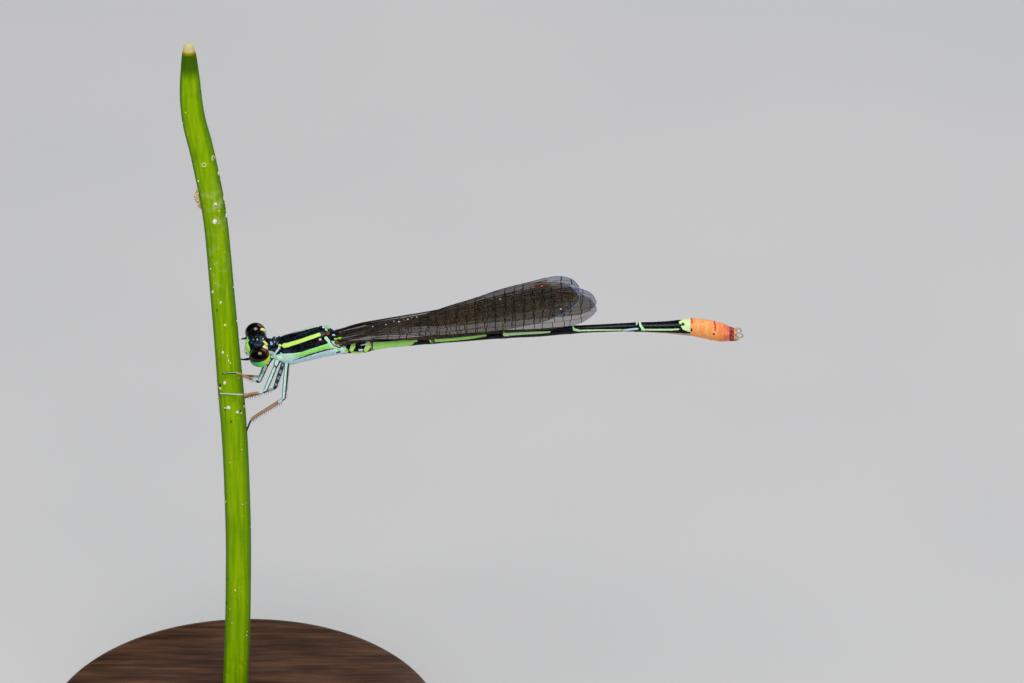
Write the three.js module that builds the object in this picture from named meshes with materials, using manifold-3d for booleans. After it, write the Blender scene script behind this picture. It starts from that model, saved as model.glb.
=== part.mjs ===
// A tiny damselfly resting on a cut length of green reed stem, held up by a plain round stand.
// Millimetres, +Z up. The origin is the centre of the stand's underside. The head points along -X
// and the abdomen along +X, so the insect's left side faces -Y.
import * as THREE from "three";
import { mergeVertices } from "three/addons/utils/BufferGeometryUtils.js";
import Module from "manifold-3d";

const wasm = await Module();
wasm.setup();
const { Manifold, Mesh: SolidMesh } = wasm;

// Driving sizes.
const GAP = 0.25; // between neighbouring pieces
const ROOT_GAP = 0.31; // between the trunk and the roots of its wings and legs
const STAND = { radius: 9, thickness: 1.5, chamfer: 0.35, rodRadius: 0.45, sides: 48 };
const STEM_CUT = 3.2; // height of the stem's cut end
const BODY_MIN_RADIUS = 0.19;

// Stem: centre line as [height, x] and radius as [height, radius].
const STEM_LINE = [
  [3.2, -0.35], [7.98, -0.12], [12.2, -0.05], [16.8, -0.13], [21.2, -0.36], [25, -0.58],
  [28, -0.8], [30.9, -1.26], [32.4, -1.56], [33.8, -1.67], [36, -1.7],
];
const STEM_RADIUS = [
  [3.2, 0.57], [12, 0.57], [18.6, 0.575], [21, 0.55], [25, 0.53], [30.9, 0.52],
  [33.8, 0.465], [34.8, 0.39], [35.7, 0.28], [36.05, 0.12],
];

// Head, in its own frame with its centre between the eyes.
const HEAD = {
  x: 0.99, z: 21.17, roll: 7, yaw: 7.5,
  eyeX: 0.46, eyeY: 0.42, eyeZ: 0.44, eyeOut: 0.9,
};
const EYE_CUT = 0.6; // distance of the eyes' inner edge from the middle of the head

// Thorax and neck: heights of the back line and the breast line, and half widths, as [x, value].
const THORAX = { start: 2.12, end: 4.7 };
const PROTHORAX = { start: 1.6, end: 1.87 };
const BACK_LINE = [
  [1.4, 21.28], [1.75, 21.45], [2.1, 21.55], [3.0, 21.84], [3.8, 22.05], [4.15, 21.95],
  [4.7, 21.42], [5.0, 21.3],
];
const BREAST_LINE = [
  [1.4, 20.68], [1.8, 20.5], [2.1, 20.36], [2.45, 20.28], [3.0, 20.43], [4.0, 20.68],
  [4.7, 20.8], [5.0, 20.82],
];
const THORAX_HALF_WIDTH = [
  [1.4, 0.3], [1.75, 0.42], [2.1, 0.5], [2.6, 0.62], [3.3, 0.66], [3.9, 0.6], [4.4, 0.44],
  [4.8, 0.3],
];

// Abdomen: centre line height and radius as [x, value], and the ends of its ten segments.
const ABDOMEN_LINE = [
  [4.7, 21.05], [5.6, 21.09], [7.2, 21.29], [9.9, 21.52], [13.4, 21.78], [16, 22.0],
  [18.6, 22.07], [19.95, 22.07], [21, 21.89], [21.9, 21.67], [22.3, 21.58],
];
const ABDOMEN_RADIUS = [
  [4.7, 0.24], [5.2, 0.28], [5.8, 0.27], [6.2, 0.22], [7.2, 0.19], [11.7, 0.19], [15.5, 0.19],
  [17.5, 0.215], [18.6, 0.26], [19.5, 0.34], [20, 0.38], [21, 0.415], [21.6, 0.36], [22, 0.27],
];
const SEGMENT_ENDS = {
  "1_2": [4.82, 6.02], 3: 8.63, 4: 11.74, 5: 14.76, 6: 17.64, 7: 19.93, 8: 21, 9: 21.58, 10: 21.9,
};
const HOOK = { length: 0.34, radius: 0.075, out: 0.13, up: 0.17, bend: 0.1 };

// Wings: root, pitch of the long axis, length, and the outline as [share of length, distance from
// the axis].
const WING_SKIN = 0.4; // thickness of the membrane
const VEIN_RISE = 0.05; // how far a vein stands out of each face
const FORE_WING = {
  root: [4.09, 21.99], pitch: 6, length: 11.79, rootOut: 0.38, out: 0.38,
  lead: [
    [0, 0.15], [0.2, 0.28], [0.47, 0.65], [0.8, 1.22], [0.9, 1.05], [0.96, 0.74], [0.99, 0.38],
    [1, 0.07],
  ],
  trail: [
    [0, 0.15], [0.18, 0.17], [0.35, 0.54], [0.6, 0.7], [0.8, 0.76], [0.93, 0.64], [0.985, 0.32],
    [1, 0.07],
  ],
};
const HIND_WING = {
  root: [4.48, 21.44], pitch: 12.7, length: 10.86, rootOut: 0.72, out: 1.13,
  lead: [
    [0, 0.15], [0.2, 0.36], [0.47, 0.83], [0.66, 1.07], [0.85, 1.1], [0.93, 0.87], [0.98, 0.45],
    [1, 0.07],
  ],
  trail: [
    [0, 0.15], [0.17, 0.17], [0.35, 0.6], [0.6, 0.83], [0.8, 0.84], [0.93, 0.62], [0.985, 0.3],
    [1, 0.07],
  ],
};
const LONG_VEINS = [0, 0.16, 0.36, 0.56, 0.78, 1]; // share of the chord, from the leading edge
const CROSS_VEINS = [0.24, 0.31, 0.4, 0.5, 0.6, 0.7, 0.8]; // share of the length
const STIGMA = { from: 0.86, to: 0.91, rise: 0.07 };

// Legs: radii at the hip, knee, ankle and claw, and each joint as [x, distance from the middle,
// height].
const LEG_RADIUS = { hip: 0.2, knee: 0.18, shin: 0.15, ankle: 0.135, claw: 0.08 };
const LEG_SIDES = 8;
const LEGS = {
  leg_fore_left: {
    side: -1,
    joints: [
      [1.54, 0.15, 20.9], [1.44, 0.34, 20.36], [1.02, 0.65, 19.7],
      [0.05, 0.98, 20.28], [-0.48, 0.98, 20.27],
    ],
  },
  leg_fore_right: {
    side: 1,
    joints: [
      [1.54, 0.15, 20.9], [1.44, 0.34, 20.36], [0.9, 0.6, 19.3],
      [0.05, 1.0, 19.42], [-0.5, 0.98, 19.4],
    ],
  },
  leg_mid_left: {
    side: -1,
    joints: [
      [2.14, 0.15, 20.8], [2.04, 0.4, 20.22], [1.37, 0.95, 19.28],
      [0.38, 1.0, 19.2], [-0.68, 0.92, 19.2],
    ],
  },
  leg_mid_right: {
    side: 1,
    joints: [
      [2.14, 0.15, 20.8], [2.04, 0.4, 20.22], [1.66, 0.7, 18.6],
      [0.45, 1.0, 18.0], [-0.6, 0.92, 18.1],
    ],
  },
  leg_hind_left: {
    side: -1,
    joints: [
      [2.78, 0.15, 20.8], [2.66, 0.4, 20.22], [2.17, 0.78, 19.02],
      [0.66, 0.62, 17.66], [0.55, 0.62, 17.15],
    ],
  },
  leg_hind_right: {
    side: 1,
    joints: [
      [2.78, 0.15, 20.8], [2.66, 0.4, 20.22], [2.25, 0.78, 18.3],
      [0.76, 0.64, 17.02], [0.6, 0.64, 16.5],
    ],
  },
};

const degrees = THREE.MathUtils.degToRad;

// Smooth value at t of a table of [t, value] pairs, flat beyond its ends.
function along(table, t) {
  const last = table.length - 1;
  if (t <= table[0][0]) return table[0][1];
  if (t >= table[last][0]) return table[last][1];
  const i = table.findIndex((pair) => pair[0] > t) - 1;
  const slope = (a, b) => (table[b][1] - table[a][1]) / (table[b][0] - table[a][0]);
  const here = slope(i, i + 1);
  const limit = (other) => {
    if (other * here <= 0) return 0;
    const steepest = Math.min(Math.abs(other + here) / 2, 2 * Math.abs(here), 2 * Math.abs(other));
    return Math.sign(here) * steepest;
  };
  const startSlope = i > 0 ? limit(slope(i - 1, i)) : here;
  const endSlope = i < last - 1 ? limit(slope(i + 1, i + 2)) : here;
  const span = table[i + 1][0] - table[i][0];
  const s = (t - table[i][0]) / span;
  return (
    table[i][1] * (2 * s ** 3 - 3 * s ** 2 + 1) +
    table[i + 1][1] * (3 * s ** 2 - 2 * s ** 3) +
    startSlope * span * (s ** 3 - 2 * s ** 2 + s) +
    endSlope * span * (s ** 3 - s ** 2)
  );
}

// A closed geometry through rings of equal size, with a flat fan over each end.
function loft(rings) {
  const sides = rings[0].length;
  const sumOf = (ring) => ring.reduce((sum, p) => sum.add(p), new THREE.Vector3());
  const centre = (ring) => sumOf(ring).divideScalar(sides);
  const points = [...rings.flat(), centre(rings[0]), centre(rings.at(-1))];
  const first = points.length - 2;
  const faces = [];
  for (let k = 0; k < sides; k++) {
    const next = (k + 1) % sides;
    for (let i = 0; i < rings.length - 1; i++) {
      const [a, b] = [i * sides + k, i * sides + next];
      faces.push(a, b, a + sides, b, b + sides, a + sides);
    }
    const top = (rings.length - 1) * sides;
    faces.push(first, next, k, first + 1, top + k, top + next);
  }
  const geometry = new THREE.BufferGeometry().setFromPoints(points);
  geometry.setIndex(faces);
  return geometry;
}

// A round ring of points about a centre, square to a direction.
function ring(centre, direction, radius, sides) {
  const ahead = direction.clone().normalize();
  const side = new THREE.Vector3(0, 1, 0.01).cross(ahead).normalize();
  const up = ahead.clone().cross(side);
  return Array.from({ length: sides }, (_, k) => {
    const angle = (2 * Math.PI * k) / sides;
    const point = centre.clone().addScaledVector(side, radius * Math.cos(angle));
    return point.addScaledVector(up, radius * Math.sin(angle));
  });
}

// A tube along a curve whose radius is a function of the share of its length.
function tube(curve, radiusAt, steps, sides) {
  return loft(
    Array.from({ length: steps + 1 }, (_, i) =>
      ring(curve.getPointAt(i / steps), curve.getTangentAt(i / steps), radiusAt(i / steps), sides),
    ),
  );
}

// A closed geometry as a solid.
function solid(geometry) {
  const bare = geometry.clone();
  bare.deleteAttribute("normal");
  bare.deleteAttribute("uv");
  const merged = mergeVertices(bare, 1e-4);
  return new Manifold(
    new SolidMesh({
      numProp: 3,
      vertProperties: new Float32Array(merged.attributes.position.array),
      triVerts: new Uint32Array(merged.index.array),
    }),
  );
}

// The largest closed surface of a solid, as a geometry.
function geometryOf(made) {
  const largest = made.decompose().sort((a, b) => b.volume() - a.volume())[0];
  const mesh = largest.getMesh();
  const geometry = new THREE.BufferGeometry();
  geometry.setAttribute("position", new THREE.BufferAttribute(mesh.vertProperties, 3));
  geometry.setIndex(new THREE.BufferAttribute(mesh.triVerts, 1));
  return geometry;
}

const fuse = (solids) => solids.reduce((sum, next) => sum.add(next));

// An egg shape with the given half sizes about a centre.
function egg(centre, half, columns = 16, rows = 10) {
  const geometry = new THREE.SphereGeometry(1, columns, rows);
  geometry.rotateX(Math.PI / 2);
  geometry.scale(...half);
  geometry.translate(...centre);
  return solid(geometry);
}

function block(centre, size, turnY = 0) {
  const geometry = new THREE.BoxGeometry(...size);
  geometry.rotateY(degrees(turnY));
  geometry.translate(...centre);
  return solid(geometry);
}

const finish = (colour, roughness, metalness = 0) =>
  new THREE.MeshStandardMaterial({ color: colour, roughness, metalness });
const MATERIALS = {
  body: finish(0x14161a, 0.35),
  pale: finish(0xb9dfa0, 0.45),
  tip: finish(0xf07a3c, 0.45),
  eye: finish(0x1b0f0a, 0.15),
  leg: finish(0xaec4bd, 0.5),
  wing: finish(0x6a6258, 0.3),
  stem: finish(0x7fa800, 0.5),
  base: finish(0x3b2a20, 0.5),
  rod: finish(0xb08d4a, 0.3, 1),
};

function node(name, geometry, material) {
  const mesh = new THREE.Mesh(geometry, material);
  mesh.name = name;
  return mesh;
}

// Stand: a chamfered disc and one short rod under the stem's cut end.
function stand() {
  const { radius, thickness, chamfer, rodRadius, sides } = STAND;
  const profile = [
    [0, 0], [radius, 0], [radius, thickness - chamfer], [radius - chamfer, thickness], [0, thickness],
  ];
  const disc = new THREE.LatheGeometry(profile.map((p) => new THREE.Vector2(...p)), sides);
  disc.rotateX(Math.PI / 2);
  const foot = thickness + GAP;
  const rod = new THREE.CylinderGeometry(rodRadius, rodRadius, STEM_CUT - GAP - foot, 16);
  rod.rotateX(Math.PI / 2);
  rod.translate(STEM_LINE[0][1], 0, (foot + STEM_CUT - GAP) / 2);
  return [node("stand_base", disc, MATERIALS.base), node("stand_rod", rod, MATERIALS.rod)];
}

function stem() {
  const steps = 22;
  const sides = 14;
  const [low, high] = [STEM_RADIUS[0][0], STEM_RADIUS.at(-1)[0]];
  const rings = Array.from({ length: steps + 1 }, (_, i) => {
    const share = i / steps;
    const height = low + (high - low) * (1 - (1 - share) ** 1.25);
    const lean = (along(STEM_LINE, height + 0.1) - along(STEM_LINE, height - 0.1)) / 0.2;
    const centre = new THREE.Vector3(along(STEM_LINE, height), 0, height);
    return ring(centre, new THREE.Vector3(i ? lean : 0, 0, 1), along(STEM_RADIUS, height), sides);
  });
  return node("perch_stem", loft(rings), MATERIALS.stem);
}

// Head capsule with face, lip, jaws, brow, three simple eyes and lobes behind the compound eyes.
function head() {
  const { eyeX, eyeY, eyeZ, eyeOut } = HEAD;
  const eyeball = (side) => egg([0, side * eyeOut, 0], [eyeX, eyeY, eyeZ], 20, 14);
  const simpleEyePlaces = [[-0.2, 0], [-0.06, 0.14], [-0.06, -0.14]];
  const simpleEyes = simpleEyePlaces.map(([x, y]) => egg([x, y, 0.32], [0.08, 0.08, 0.08], 8, 6));
  const capsule = fuse([
    egg([0.0, 0, 0], [0.4, 1.0, 0.36], 22, 14),
    egg([-0.22, 0, -0.02], [0.31, 0.48, 0.3]),
    egg([-0.26, 0, -0.24], [0.25, 0.38, 0.22]),
    egg([-0.06, 0, -0.4], [0.3, 0.3, 0.2]),
    egg([0.16, 0.42, 0.08], [0.18, 0.3, 0.24]),
    egg([0.16, -0.42, 0.08], [0.18, 0.3, 0.24]),
    ...simpleEyes,
  ]);
  const mouthLine = block([-0.42, 0, -0.44], [0.3, 0.7, 0.05], -35);
  const middle = EYE_CUT - GAP / 2;
  const between = block([0, 0, 0], [2, 2 * middle, 2]);
  const group = new THREE.Group();
  group.position.set(HEAD.x, 0, HEAD.z);
  group.rotation.set(degrees(HEAD.roll), 0, degrees(HEAD.yaw));
  const cut = capsule.subtract(mouthLine).intersect(between);
  group.add(node("head", geometryOf(cut), MATERIALS.body));
  for (const [name, side] of [["left", -1], ["right", 1]]) {
    const outside = block([0, side * (EYE_CUT + GAP / 2 + 1), 0], [2, 2, 2]);
    group.add(node(`eye_${name}`, geometryOf(eyeball(side).intersect(outside)), MATERIALS.eye));
    const feeler = new THREE.CatmullRomCurve3([
      new THREE.Vector3(-0.66, side * 0.56, 0.1),
      new THREE.Vector3(-0.72, side * 0.8, 0.0),
      new THREE.Vector3(-0.8, side * 1.04, -0.16),
    ]);
    group.add(node(`antenna_${name}`, tube(feeler, (s) => 0.12 - 0.06 * s, 6, 8), MATERIALS.body));
  }
  return group;
}

// The thorax's cross section: a narrow ridged back, full flanks and a flat breast.
function thoraxRing(x, grow, sides) {
  const [high, low] = [along(BACK_LINE, x) + grow, along(BREAST_LINE, x) - grow];
  const half = along(THORAX_HALF_WIDTH, x) + grow;
  return Array.from({ length: sides }, (_, k) => {
    const angle = (2 * Math.PI * k) / sides;
    const rise = Math.sin(angle);
    const shoulder = 1 - 0.3 * Math.max(rise, 0) ** 2;
    const lift = Math.sign(rise) * Math.abs(rise) ** (rise < 0 ? 0.8 : 1);
    const level = (high + low) / 2 + ((high - low) / 2) * lift;
    return new THREE.Vector3(x, half * Math.cos(angle) * shoulder, level);
  });
}

function thoraxSolid(start, end, grow = 0) {
  const steps = Math.max(3, Math.round((end - start) / 0.25));
  const [from, to] = [start - grow, end + grow];
  const rings = Array.from({ length: steps + 1 }, (_, i) =>
    thoraxRing(from + ((to - from) * i) / steps, grow, 20),
  );
  return solid(loft(rings));
}

function abdomenPoint(x) {
  return new THREE.Vector3(x, 0, along(ABDOMEN_LINE, x));
}

// One length of the abdomen, a little wider at both ends than in the middle.
function abdomenSolid(start, end, sides = 12) {
  const steps = Math.max(3, Math.min(8, Math.round((end - start) / 0.35)));
  const rings = Array.from({ length: steps + 1 }, (_, i) => {
    const x = start + ((end - start) * i) / steps;
    const radius = Math.max(BODY_MIN_RADIUS, along(ABDOMEN_RADIUS, x));
    const bevel = i === 0 || i === steps ? 0.9 : 1;
    const ahead = abdomenPoint(x + 0.05).sub(abdomenPoint(x - 0.05));
    return ring(abdomenPoint(x), ahead, radius * bevel, sides);
  });
  return solid(loft(rings));
}

// The two upper and two lower claspers at the end of the tenth segment.
function claspers() {
  const root = abdomenPoint(SEGMENT_ENDS[10] - 0.1);
  const hooks = [];
  for (const side of [-1, 1])
    for (const up of [-1, 1]) {
      const at = (forward, rise) =>
        new THREE.Vector3(root.x + forward, side * HOOK.out, root.z + up * rise);
      const curve = new THREE.QuadraticBezierCurve3(
        at(0, HOOK.up - 0.04),
        at(HOOK.length, HOOK.up + HOOK.bend),
        at(HOOK.length + 0.12, HOOK.up - HOOK.bend),
      );
      hooks.push(solid(tube(curve, (s) => HOOK.radius * (1 - 0.3 * s), 5, 8)));
    }
  return hooks;
}

function abdomen() {
  const nodes = [];
  let [start] = SEGMENT_ENDS["1_2"];
  const order = ["1_2", "3", "4", "5", "6", "7", "8", "9", "10"];
  for (const key of order) {
    const end = key === "1_2" ? SEGMENT_ENDS[key][1] : SEGMENT_ENDS[key];
    const from = key === "1_2" ? THORAX.end + GAP : start + GAP / 2;
    const to = key === "10" ? end : end - GAP / 2;
    let made = abdomenSolid(from, to);
    if (key === "10") made = fuse([made, ...claspers()]);
    const rear = Number(key) >= 8 ? MATERIALS.tip : MATERIALS.body;
    const material = key === "1_2" ? MATERIALS.pale : rear;
    const name = key === "1_2" ? "abdomen_segments_1_2" : `abdomen_segment_${key}`;
    nodes.push(node(name, geometryOf(made), material));
    start = end;
  }
  return nodes;
}

// Shares of the length and of the chord where the wing's grid has its lines: each vein takes a
// crest with a foot on both sides.
function gridLines(crests, foot, extra) {
  const lines = new Map(extra.map((t) => [t, 0]));
  for (const crest of crests) {
    for (const t of [crest - foot, crest + foot]) {
      if (t > 0 && t < 1) lines.set(t, 0);
    }
    lines.set(crest, 1);
  }
  return [...lines].sort((a, b) => a[0] - b[0]);
}

// A wing as a plate with its main veins raised in both faces.
function wingSolid(wing, side) {
  const plain = [0, 0.05, 0.1, 0.16, STIGMA.from, STIGMA.to, 0.94, 0.965, 0.985, 1];
  const columns = gridLines(CROSS_VEINS, 0.012, plain);
  const rows = gridLines(LONG_VEINS, 0.045, []);
  const [cos, sin] = [Math.cos(degrees(wing.pitch)), Math.sin(degrees(wing.pitch))];
  const point = (u, v, crest, face) => {
    const lead = along(wing.lead, u);
    const across = lead - (lead + along(wing.trail, u)) * v;
    const taper = 1 - 0.25 * THREE.MathUtils.smoothstep(u, 0.9, 1);
    const stigma = u >= STIGMA.from && u <= STIGMA.to && v < 0.17 ? STIGMA.rise : 0;
    const half = (WING_SKIN / 2) * taper + Math.max(crest * VEIN_RISE, stigma);
    const out = wing.rootOut + (wing.out - wing.rootOut) * THREE.MathUtils.smoothstep(u, 0, 0.1);
    const length = wing.length * u;
    return new THREE.Vector3(
      wing.root[0] + length * cos - across * sin,
      side * out + face * half,
      wing.root[1] + length * sin + across * cos,
    );
  };
  const points = [];
  for (const face of [-1, 1])
    for (const [u, crossCrest] of columns)
      for (const [v, longCrest] of rows) {
        points.push(point(u, v, Math.max(crossCrest, longCrest), face));
      }
  const count = rows.length;
  const half = columns.length * count;
  const faces = [];
  const quad = (a, b, c, d) => faces.push(a, b, c, a, c, d);
  for (let i = 0; i < columns.length - 1; i++)
    for (let j = 0; j < count - 1; j++) {
      const [a, b] = [i * count + j, (i + 1) * count + j];
      const [c, d] = [b + 1, a + 1];
      faces.push(a, c, b, a, d, c);
      faces.push(half + a, half + b, half + c, half + a, half + c, half + d);
    }
  const lastColumn = (columns.length - 1) * count;
  for (let j = 0; j < count - 1; j++) {
    quad(j, half + j, half + j + 1, j + 1);
    quad(lastColumn + j, lastColumn + j + 1, half + lastColumn + j + 1, half + lastColumn + j);
  }
  for (let i = 0; i < columns.length - 1; i++) {
    const [a, b] = [i * count, (i + 1) * count];
    quad(a, b, half + b, half + a);
    quad(b + count - 1, a + count - 1, half + a + count - 1, half + b + count - 1);
  }
  const geometry = new THREE.BufferGeometry().setFromPoints(points);
  geometry.setIndex(faces);
  const made = solid(geometry);
  return made.volume() < 0 ? solid(geometry.setIndex(faces.reverse())) : made;
}

// Hip, thigh, shin and foot as one tapering limb with rounded bends.
function legSolid({ side, joints }) {
  const points = joints.map(([x, out, z]) => new THREE.Vector3(x, side * out, z));
  const { hip, knee, shin, ankle, claw } = LEG_RADIUS;
  const radiusAt = [hip, hip, knee, ankle, claw];
  const rings = [ring(points[0], points[1].clone().sub(points[0]), hip, LEG_SIDES)];
  for (let i = 1; i < points.length - 1; i++) {
    const into = points[i].clone().sub(points[i - 1]);
    const away = points[i + 1].clone().sub(points[i]);
    const round = Math.min(0.3, 0.4 * into.length(), 0.4 * away.length());
    const bend = new THREE.QuadraticBezierCurve3(
      points[i].clone().addScaledVector(into.normalize(), -round),
      points[i],
      points[i].clone().addScaledVector(away.normalize(), round),
    );
    for (const s of [0, 0.33, 0.67, 1]) {
      const radius = i === 2 && s === 1 ? shin : radiusAt[i];
      rings.push(ring(bend.getPoint(s), bend.getTangent(s), radius, LEG_SIDES));
    }
  }
  rings.push(ring(points.at(-1), points.at(-1).clone().sub(points.at(-2)), claw, LEG_SIDES));
  return solid(loft(rings));
}

const thorax = thoraxSolid(THORAX.start, THORAX.end);
const prothorax = thoraxSolid(PROTHORAX.start, PROTHORAX.end);
const trunkWithRoom = fuse([
  thoraxSolid(THORAX.start, THORAX.end, ROOT_GAP),
  thoraxSolid(PROTHORAX.start, PROTHORAX.end, ROOT_GAP),
]);

const damselfly = new THREE.Group();
damselfly.add(...stand(), stem(), head());
damselfly.add(node("prothorax", geometryOf(prothorax), MATERIALS.body));
damselfly.add(node("thorax", geometryOf(thorax), MATERIALS.body));
damselfly.add(...abdomen());
for (const [side, name] of [[-1, "left"], [1, "right"]]) {
  for (const [pair, wing] of [["fore", FORE_WING], ["hind", HIND_WING]]) {
    const clear = wingSolid(wing, side).subtract(trunkWithRoom);
    damselfly.add(node(`wing_${pair}_${name}`, geometryOf(clear), MATERIALS.wing));
  }
}
for (const [name, leg] of Object.entries(LEGS)) {
  damselfly.add(node(name, geometryOf(legSolid(leg).subtract(trunkWithRoom)), MATERIALS.leg));
}

export default damselfly;
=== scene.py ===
# Looks of a tiny damselfly on a cut reed stem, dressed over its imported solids. Lengths are in
# millimetres until a mesh is made, and the side view's places are in steps of one pixel of the photo.
import math

import bpy
import numpy as np
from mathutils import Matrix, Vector


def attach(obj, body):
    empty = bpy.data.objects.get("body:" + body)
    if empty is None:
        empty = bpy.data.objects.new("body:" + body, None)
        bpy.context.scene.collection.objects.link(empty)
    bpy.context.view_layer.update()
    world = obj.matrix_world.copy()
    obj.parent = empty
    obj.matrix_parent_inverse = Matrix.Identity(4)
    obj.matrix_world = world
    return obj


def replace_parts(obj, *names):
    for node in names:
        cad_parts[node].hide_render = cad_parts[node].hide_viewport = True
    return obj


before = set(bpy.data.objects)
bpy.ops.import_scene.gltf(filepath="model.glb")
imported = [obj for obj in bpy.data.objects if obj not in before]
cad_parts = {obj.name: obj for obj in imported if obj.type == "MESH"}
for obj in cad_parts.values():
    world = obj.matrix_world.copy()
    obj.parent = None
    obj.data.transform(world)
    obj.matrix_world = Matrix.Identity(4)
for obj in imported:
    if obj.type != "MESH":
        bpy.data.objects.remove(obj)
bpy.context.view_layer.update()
random = np.random.default_rng(11)

MM = 0.001
STEP = 0.0438  # millimetres in one pixel
MIDDLE_X, MIDDLE_Y = 512, 341.5  # column and row in the middle of the photo
AIM = np.array([12.1326, 0.0, 21.3389])  # what the camera looks at
LIFT = math.radians(30)  # the camera's height above level
RISE, LEAN = math.cos(LIFT), math.sin(LIFT)
DISTANCE = 311.467
BEND = 0.12  # how far from a joint of a leg its rounding starts


# Tables, curves and distances


def along(table, t):
    """Smooth value at t of a table of [t, value] pairs, flat beyond its ends."""
    xs, ys = np.array(table, float).T
    slope = np.diff(ys) / np.diff(xs)
    m = np.zeros(len(xs))
    m[0], m[-1] = slope[0], slope[-1]
    for i in range(1, len(xs) - 1):
        if slope[i - 1] * slope[i] > 0:
            limit = min(abs(slope[i - 1] + slope[i]) / 2, 2 * abs(slope[i - 1]), 2 * abs(slope[i]))
            m[i] = math.copysign(limit, slope[i])
    t = np.clip(t, xs[0], xs[-1])
    i = np.clip(np.searchsorted(xs, t, "right") - 1, 0, len(xs) - 2)
    span = xs[i + 1] - xs[i]
    s = (t - xs[i]) / span
    return (
        ys[i] * (2 * s**3 - 3 * s**2 + 1)
        + ys[i + 1] * (3 * s**2 - 2 * s**3)
        + m[i] * span * (s**3 - 2 * s**2 + s)
        + m[i + 1] * span * (s**3 - s**2)
    )


def smooth(low, high, t):
    s = np.clip((t - low) / (high - low), 0, 1)
    return s * s * (3 - 2 * s)


def swell(offset, width):
    """A rounded rise to 1 where the offset is 0."""
    return np.exp(-((offset / width) ** 2))


def circle(count):
    """Angles evenly spaced around a ring."""
    return np.linspace(0, 2 * np.pi, count, endpoint=False)


def unit(vector):
    return vector / np.linalg.norm(vector)


def at(px, py, y):
    """The point seen at a column and row of the photo, at a distance y from the middle plane."""
    a, b = (px - MIDDLE_X) * STEP / DISTANCE, (MIDDLE_Y - py) * STEP / DISTANCE
    t = (y + DISTANCE * RISE) / (RISE + b * LEAN)
    return [AIM[0] + t * a, y, AIM[2] + DISTANCE * LEAN + t * (b * RISE - LEAN)]


def seen(points):
    """Column and row of the photo in which points show."""
    x, y, z = (points[..., k] - AIM[k] for k in range(3))
    scale = DISTANCE / (DISTANCE + y * RISE - z * LEAN) / STEP
    return MIDDLE_X + x * scale, MIDDLE_Y - (z * RISE + y * LEAN) * scale


def side_view(points):
    """Columns and rows of the photo with both flanks marked alike."""
    return seen(np.stack([points[..., 0], -np.abs(points[..., 1]), points[..., 2]], -1))


class Shown:
    """Where points show in the photo, and how far inside shapes of the photo they are, in millimetres."""

    def __init__(self, points, view=side_view):
        self.px, self.py = view(points)

    def bands(self, *paths):
        """How far inside the bands along some paths. A path holds [px, py, half width]."""
        best = np.full(self.px.shape, -1e3)
        for path in paths:
            for a, b in zip(path[:-1], path[1:]):
                dx, dy = b[0] - a[0], b[1] - a[1]
                x, y = self.px - a[0], self.py - a[1]
                s = np.clip((x * dx + y * dy) / (dx * dx + dy * dy), 0, 1)
                best = np.maximum(best, a[2] + (b[2] - a[2]) * s - np.hypot(x - s * dx, y - s * dy))
        return best * STEP

    def below(self, *path):
        """How far below a line. The path holds [px, py]."""
        xs, ys = np.array(path, float).T
        return (self.py - np.interp(self.px, xs, ys)) * STEP


def spot(points, start, end, radius):
    """How far inside a rounded bar between two places a point is, the same on both flanks."""
    p = np.stack([points[..., 0], np.abs(points[..., 1]), points[..., 2]], -1)
    a, b = np.array(start, float), np.array(end, float)
    s = np.clip(((p - a) @ (b - a)) / max((b - a) @ (b - a), 1e-9), 0, 1)
    return radius - np.linalg.norm(p - a - s[..., None] * (b - a), axis=-1)


def both(*fields):
    return np.maximum.reduce([np.asarray(f) for f in fields])


def without(field, *cuts):
    return np.minimum.reduce([field] + [-c for c in cuts])


def toned(tone, *areas):
    """Tone at each point. Areas are (field, least value of the field, tone), and a later one wins."""
    for field, least, inner in areas:
        tone = np.where(field > least, inner, tone)
    return tone


def lengths(line):
    """How long a line of points is up to each of them."""
    return np.concatenate([[0], np.cumsum(np.linalg.norm(np.diff(line, axis=0), axis=1))])


def curve(points, count):
    """Points evenly spaced on a smooth line through the given ones."""
    p = np.array(points, float)
    t = lengths(p)
    s = np.linspace(0, t[-1], count)
    return np.stack([along(np.stack([t, p[:, k]], 1), s) for k in range(3)], 1)


def bent(points, count):
    """Points on straight lengths between the given ones, with rounded bends."""
    way = [points[0]]
    for before, corner, after in zip(points[:-2], points[1:-1], points[2:]):
        into, away = corner - before, after - corner
        r = min(BEND, 0.4 * np.linalg.norm(into), 0.4 * np.linalg.norm(away))
        start, end = corner - unit(into) * r, corner + unit(away) * r
        for s in np.linspace(0, 1, 7):
            way.append((1 - s) ** 2 * start + 2 * s * (1 - s) * corner + s * s * end)
    way = np.array([*way, points[-1]])
    t = lengths(way)
    s = np.linspace(0, t[-1], count)
    return np.stack([np.interp(s, t, way[:, k]) for k in range(3)], 1)


def heading(line):
    """Direction of a line at each of its points."""
    ahead = np.gradient(line, axis=0)
    return ahead / np.linalg.norm(ahead, axis=1)[:, None]


def tube(line, radius, sides):
    """Rings of points around a line, and each point's outward direction."""
    line = np.asarray(line, float)
    ahead = heading(line)
    up = np.array([0.0, 0.0, 1.0]) if abs(ahead[0, 2]) < 0.9 else np.array([1.0, 0.0, 0.0])
    normals = []
    for tangent in ahead:
        up = unit(up - tangent * (up @ tangent))
        normals.append(up)
    normals = np.array(normals)
    sideways = np.cross(ahead, normals)
    angle = circle(sides)[None, :, None]
    out = normals[:, None] * np.cos(angle) + sideways[:, None] * np.sin(angle)
    radius = np.broadcast_to(np.asarray(radius, float), (len(line),))
    return line[:, None] + out * radius[:, None, None], out


def taper(line, shares, radii):
    """Radius at each point of a line, from radii at shares of its length."""
    return np.interp(np.linspace(0, 1, len(line)), shares, radii)


# Meshes


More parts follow.
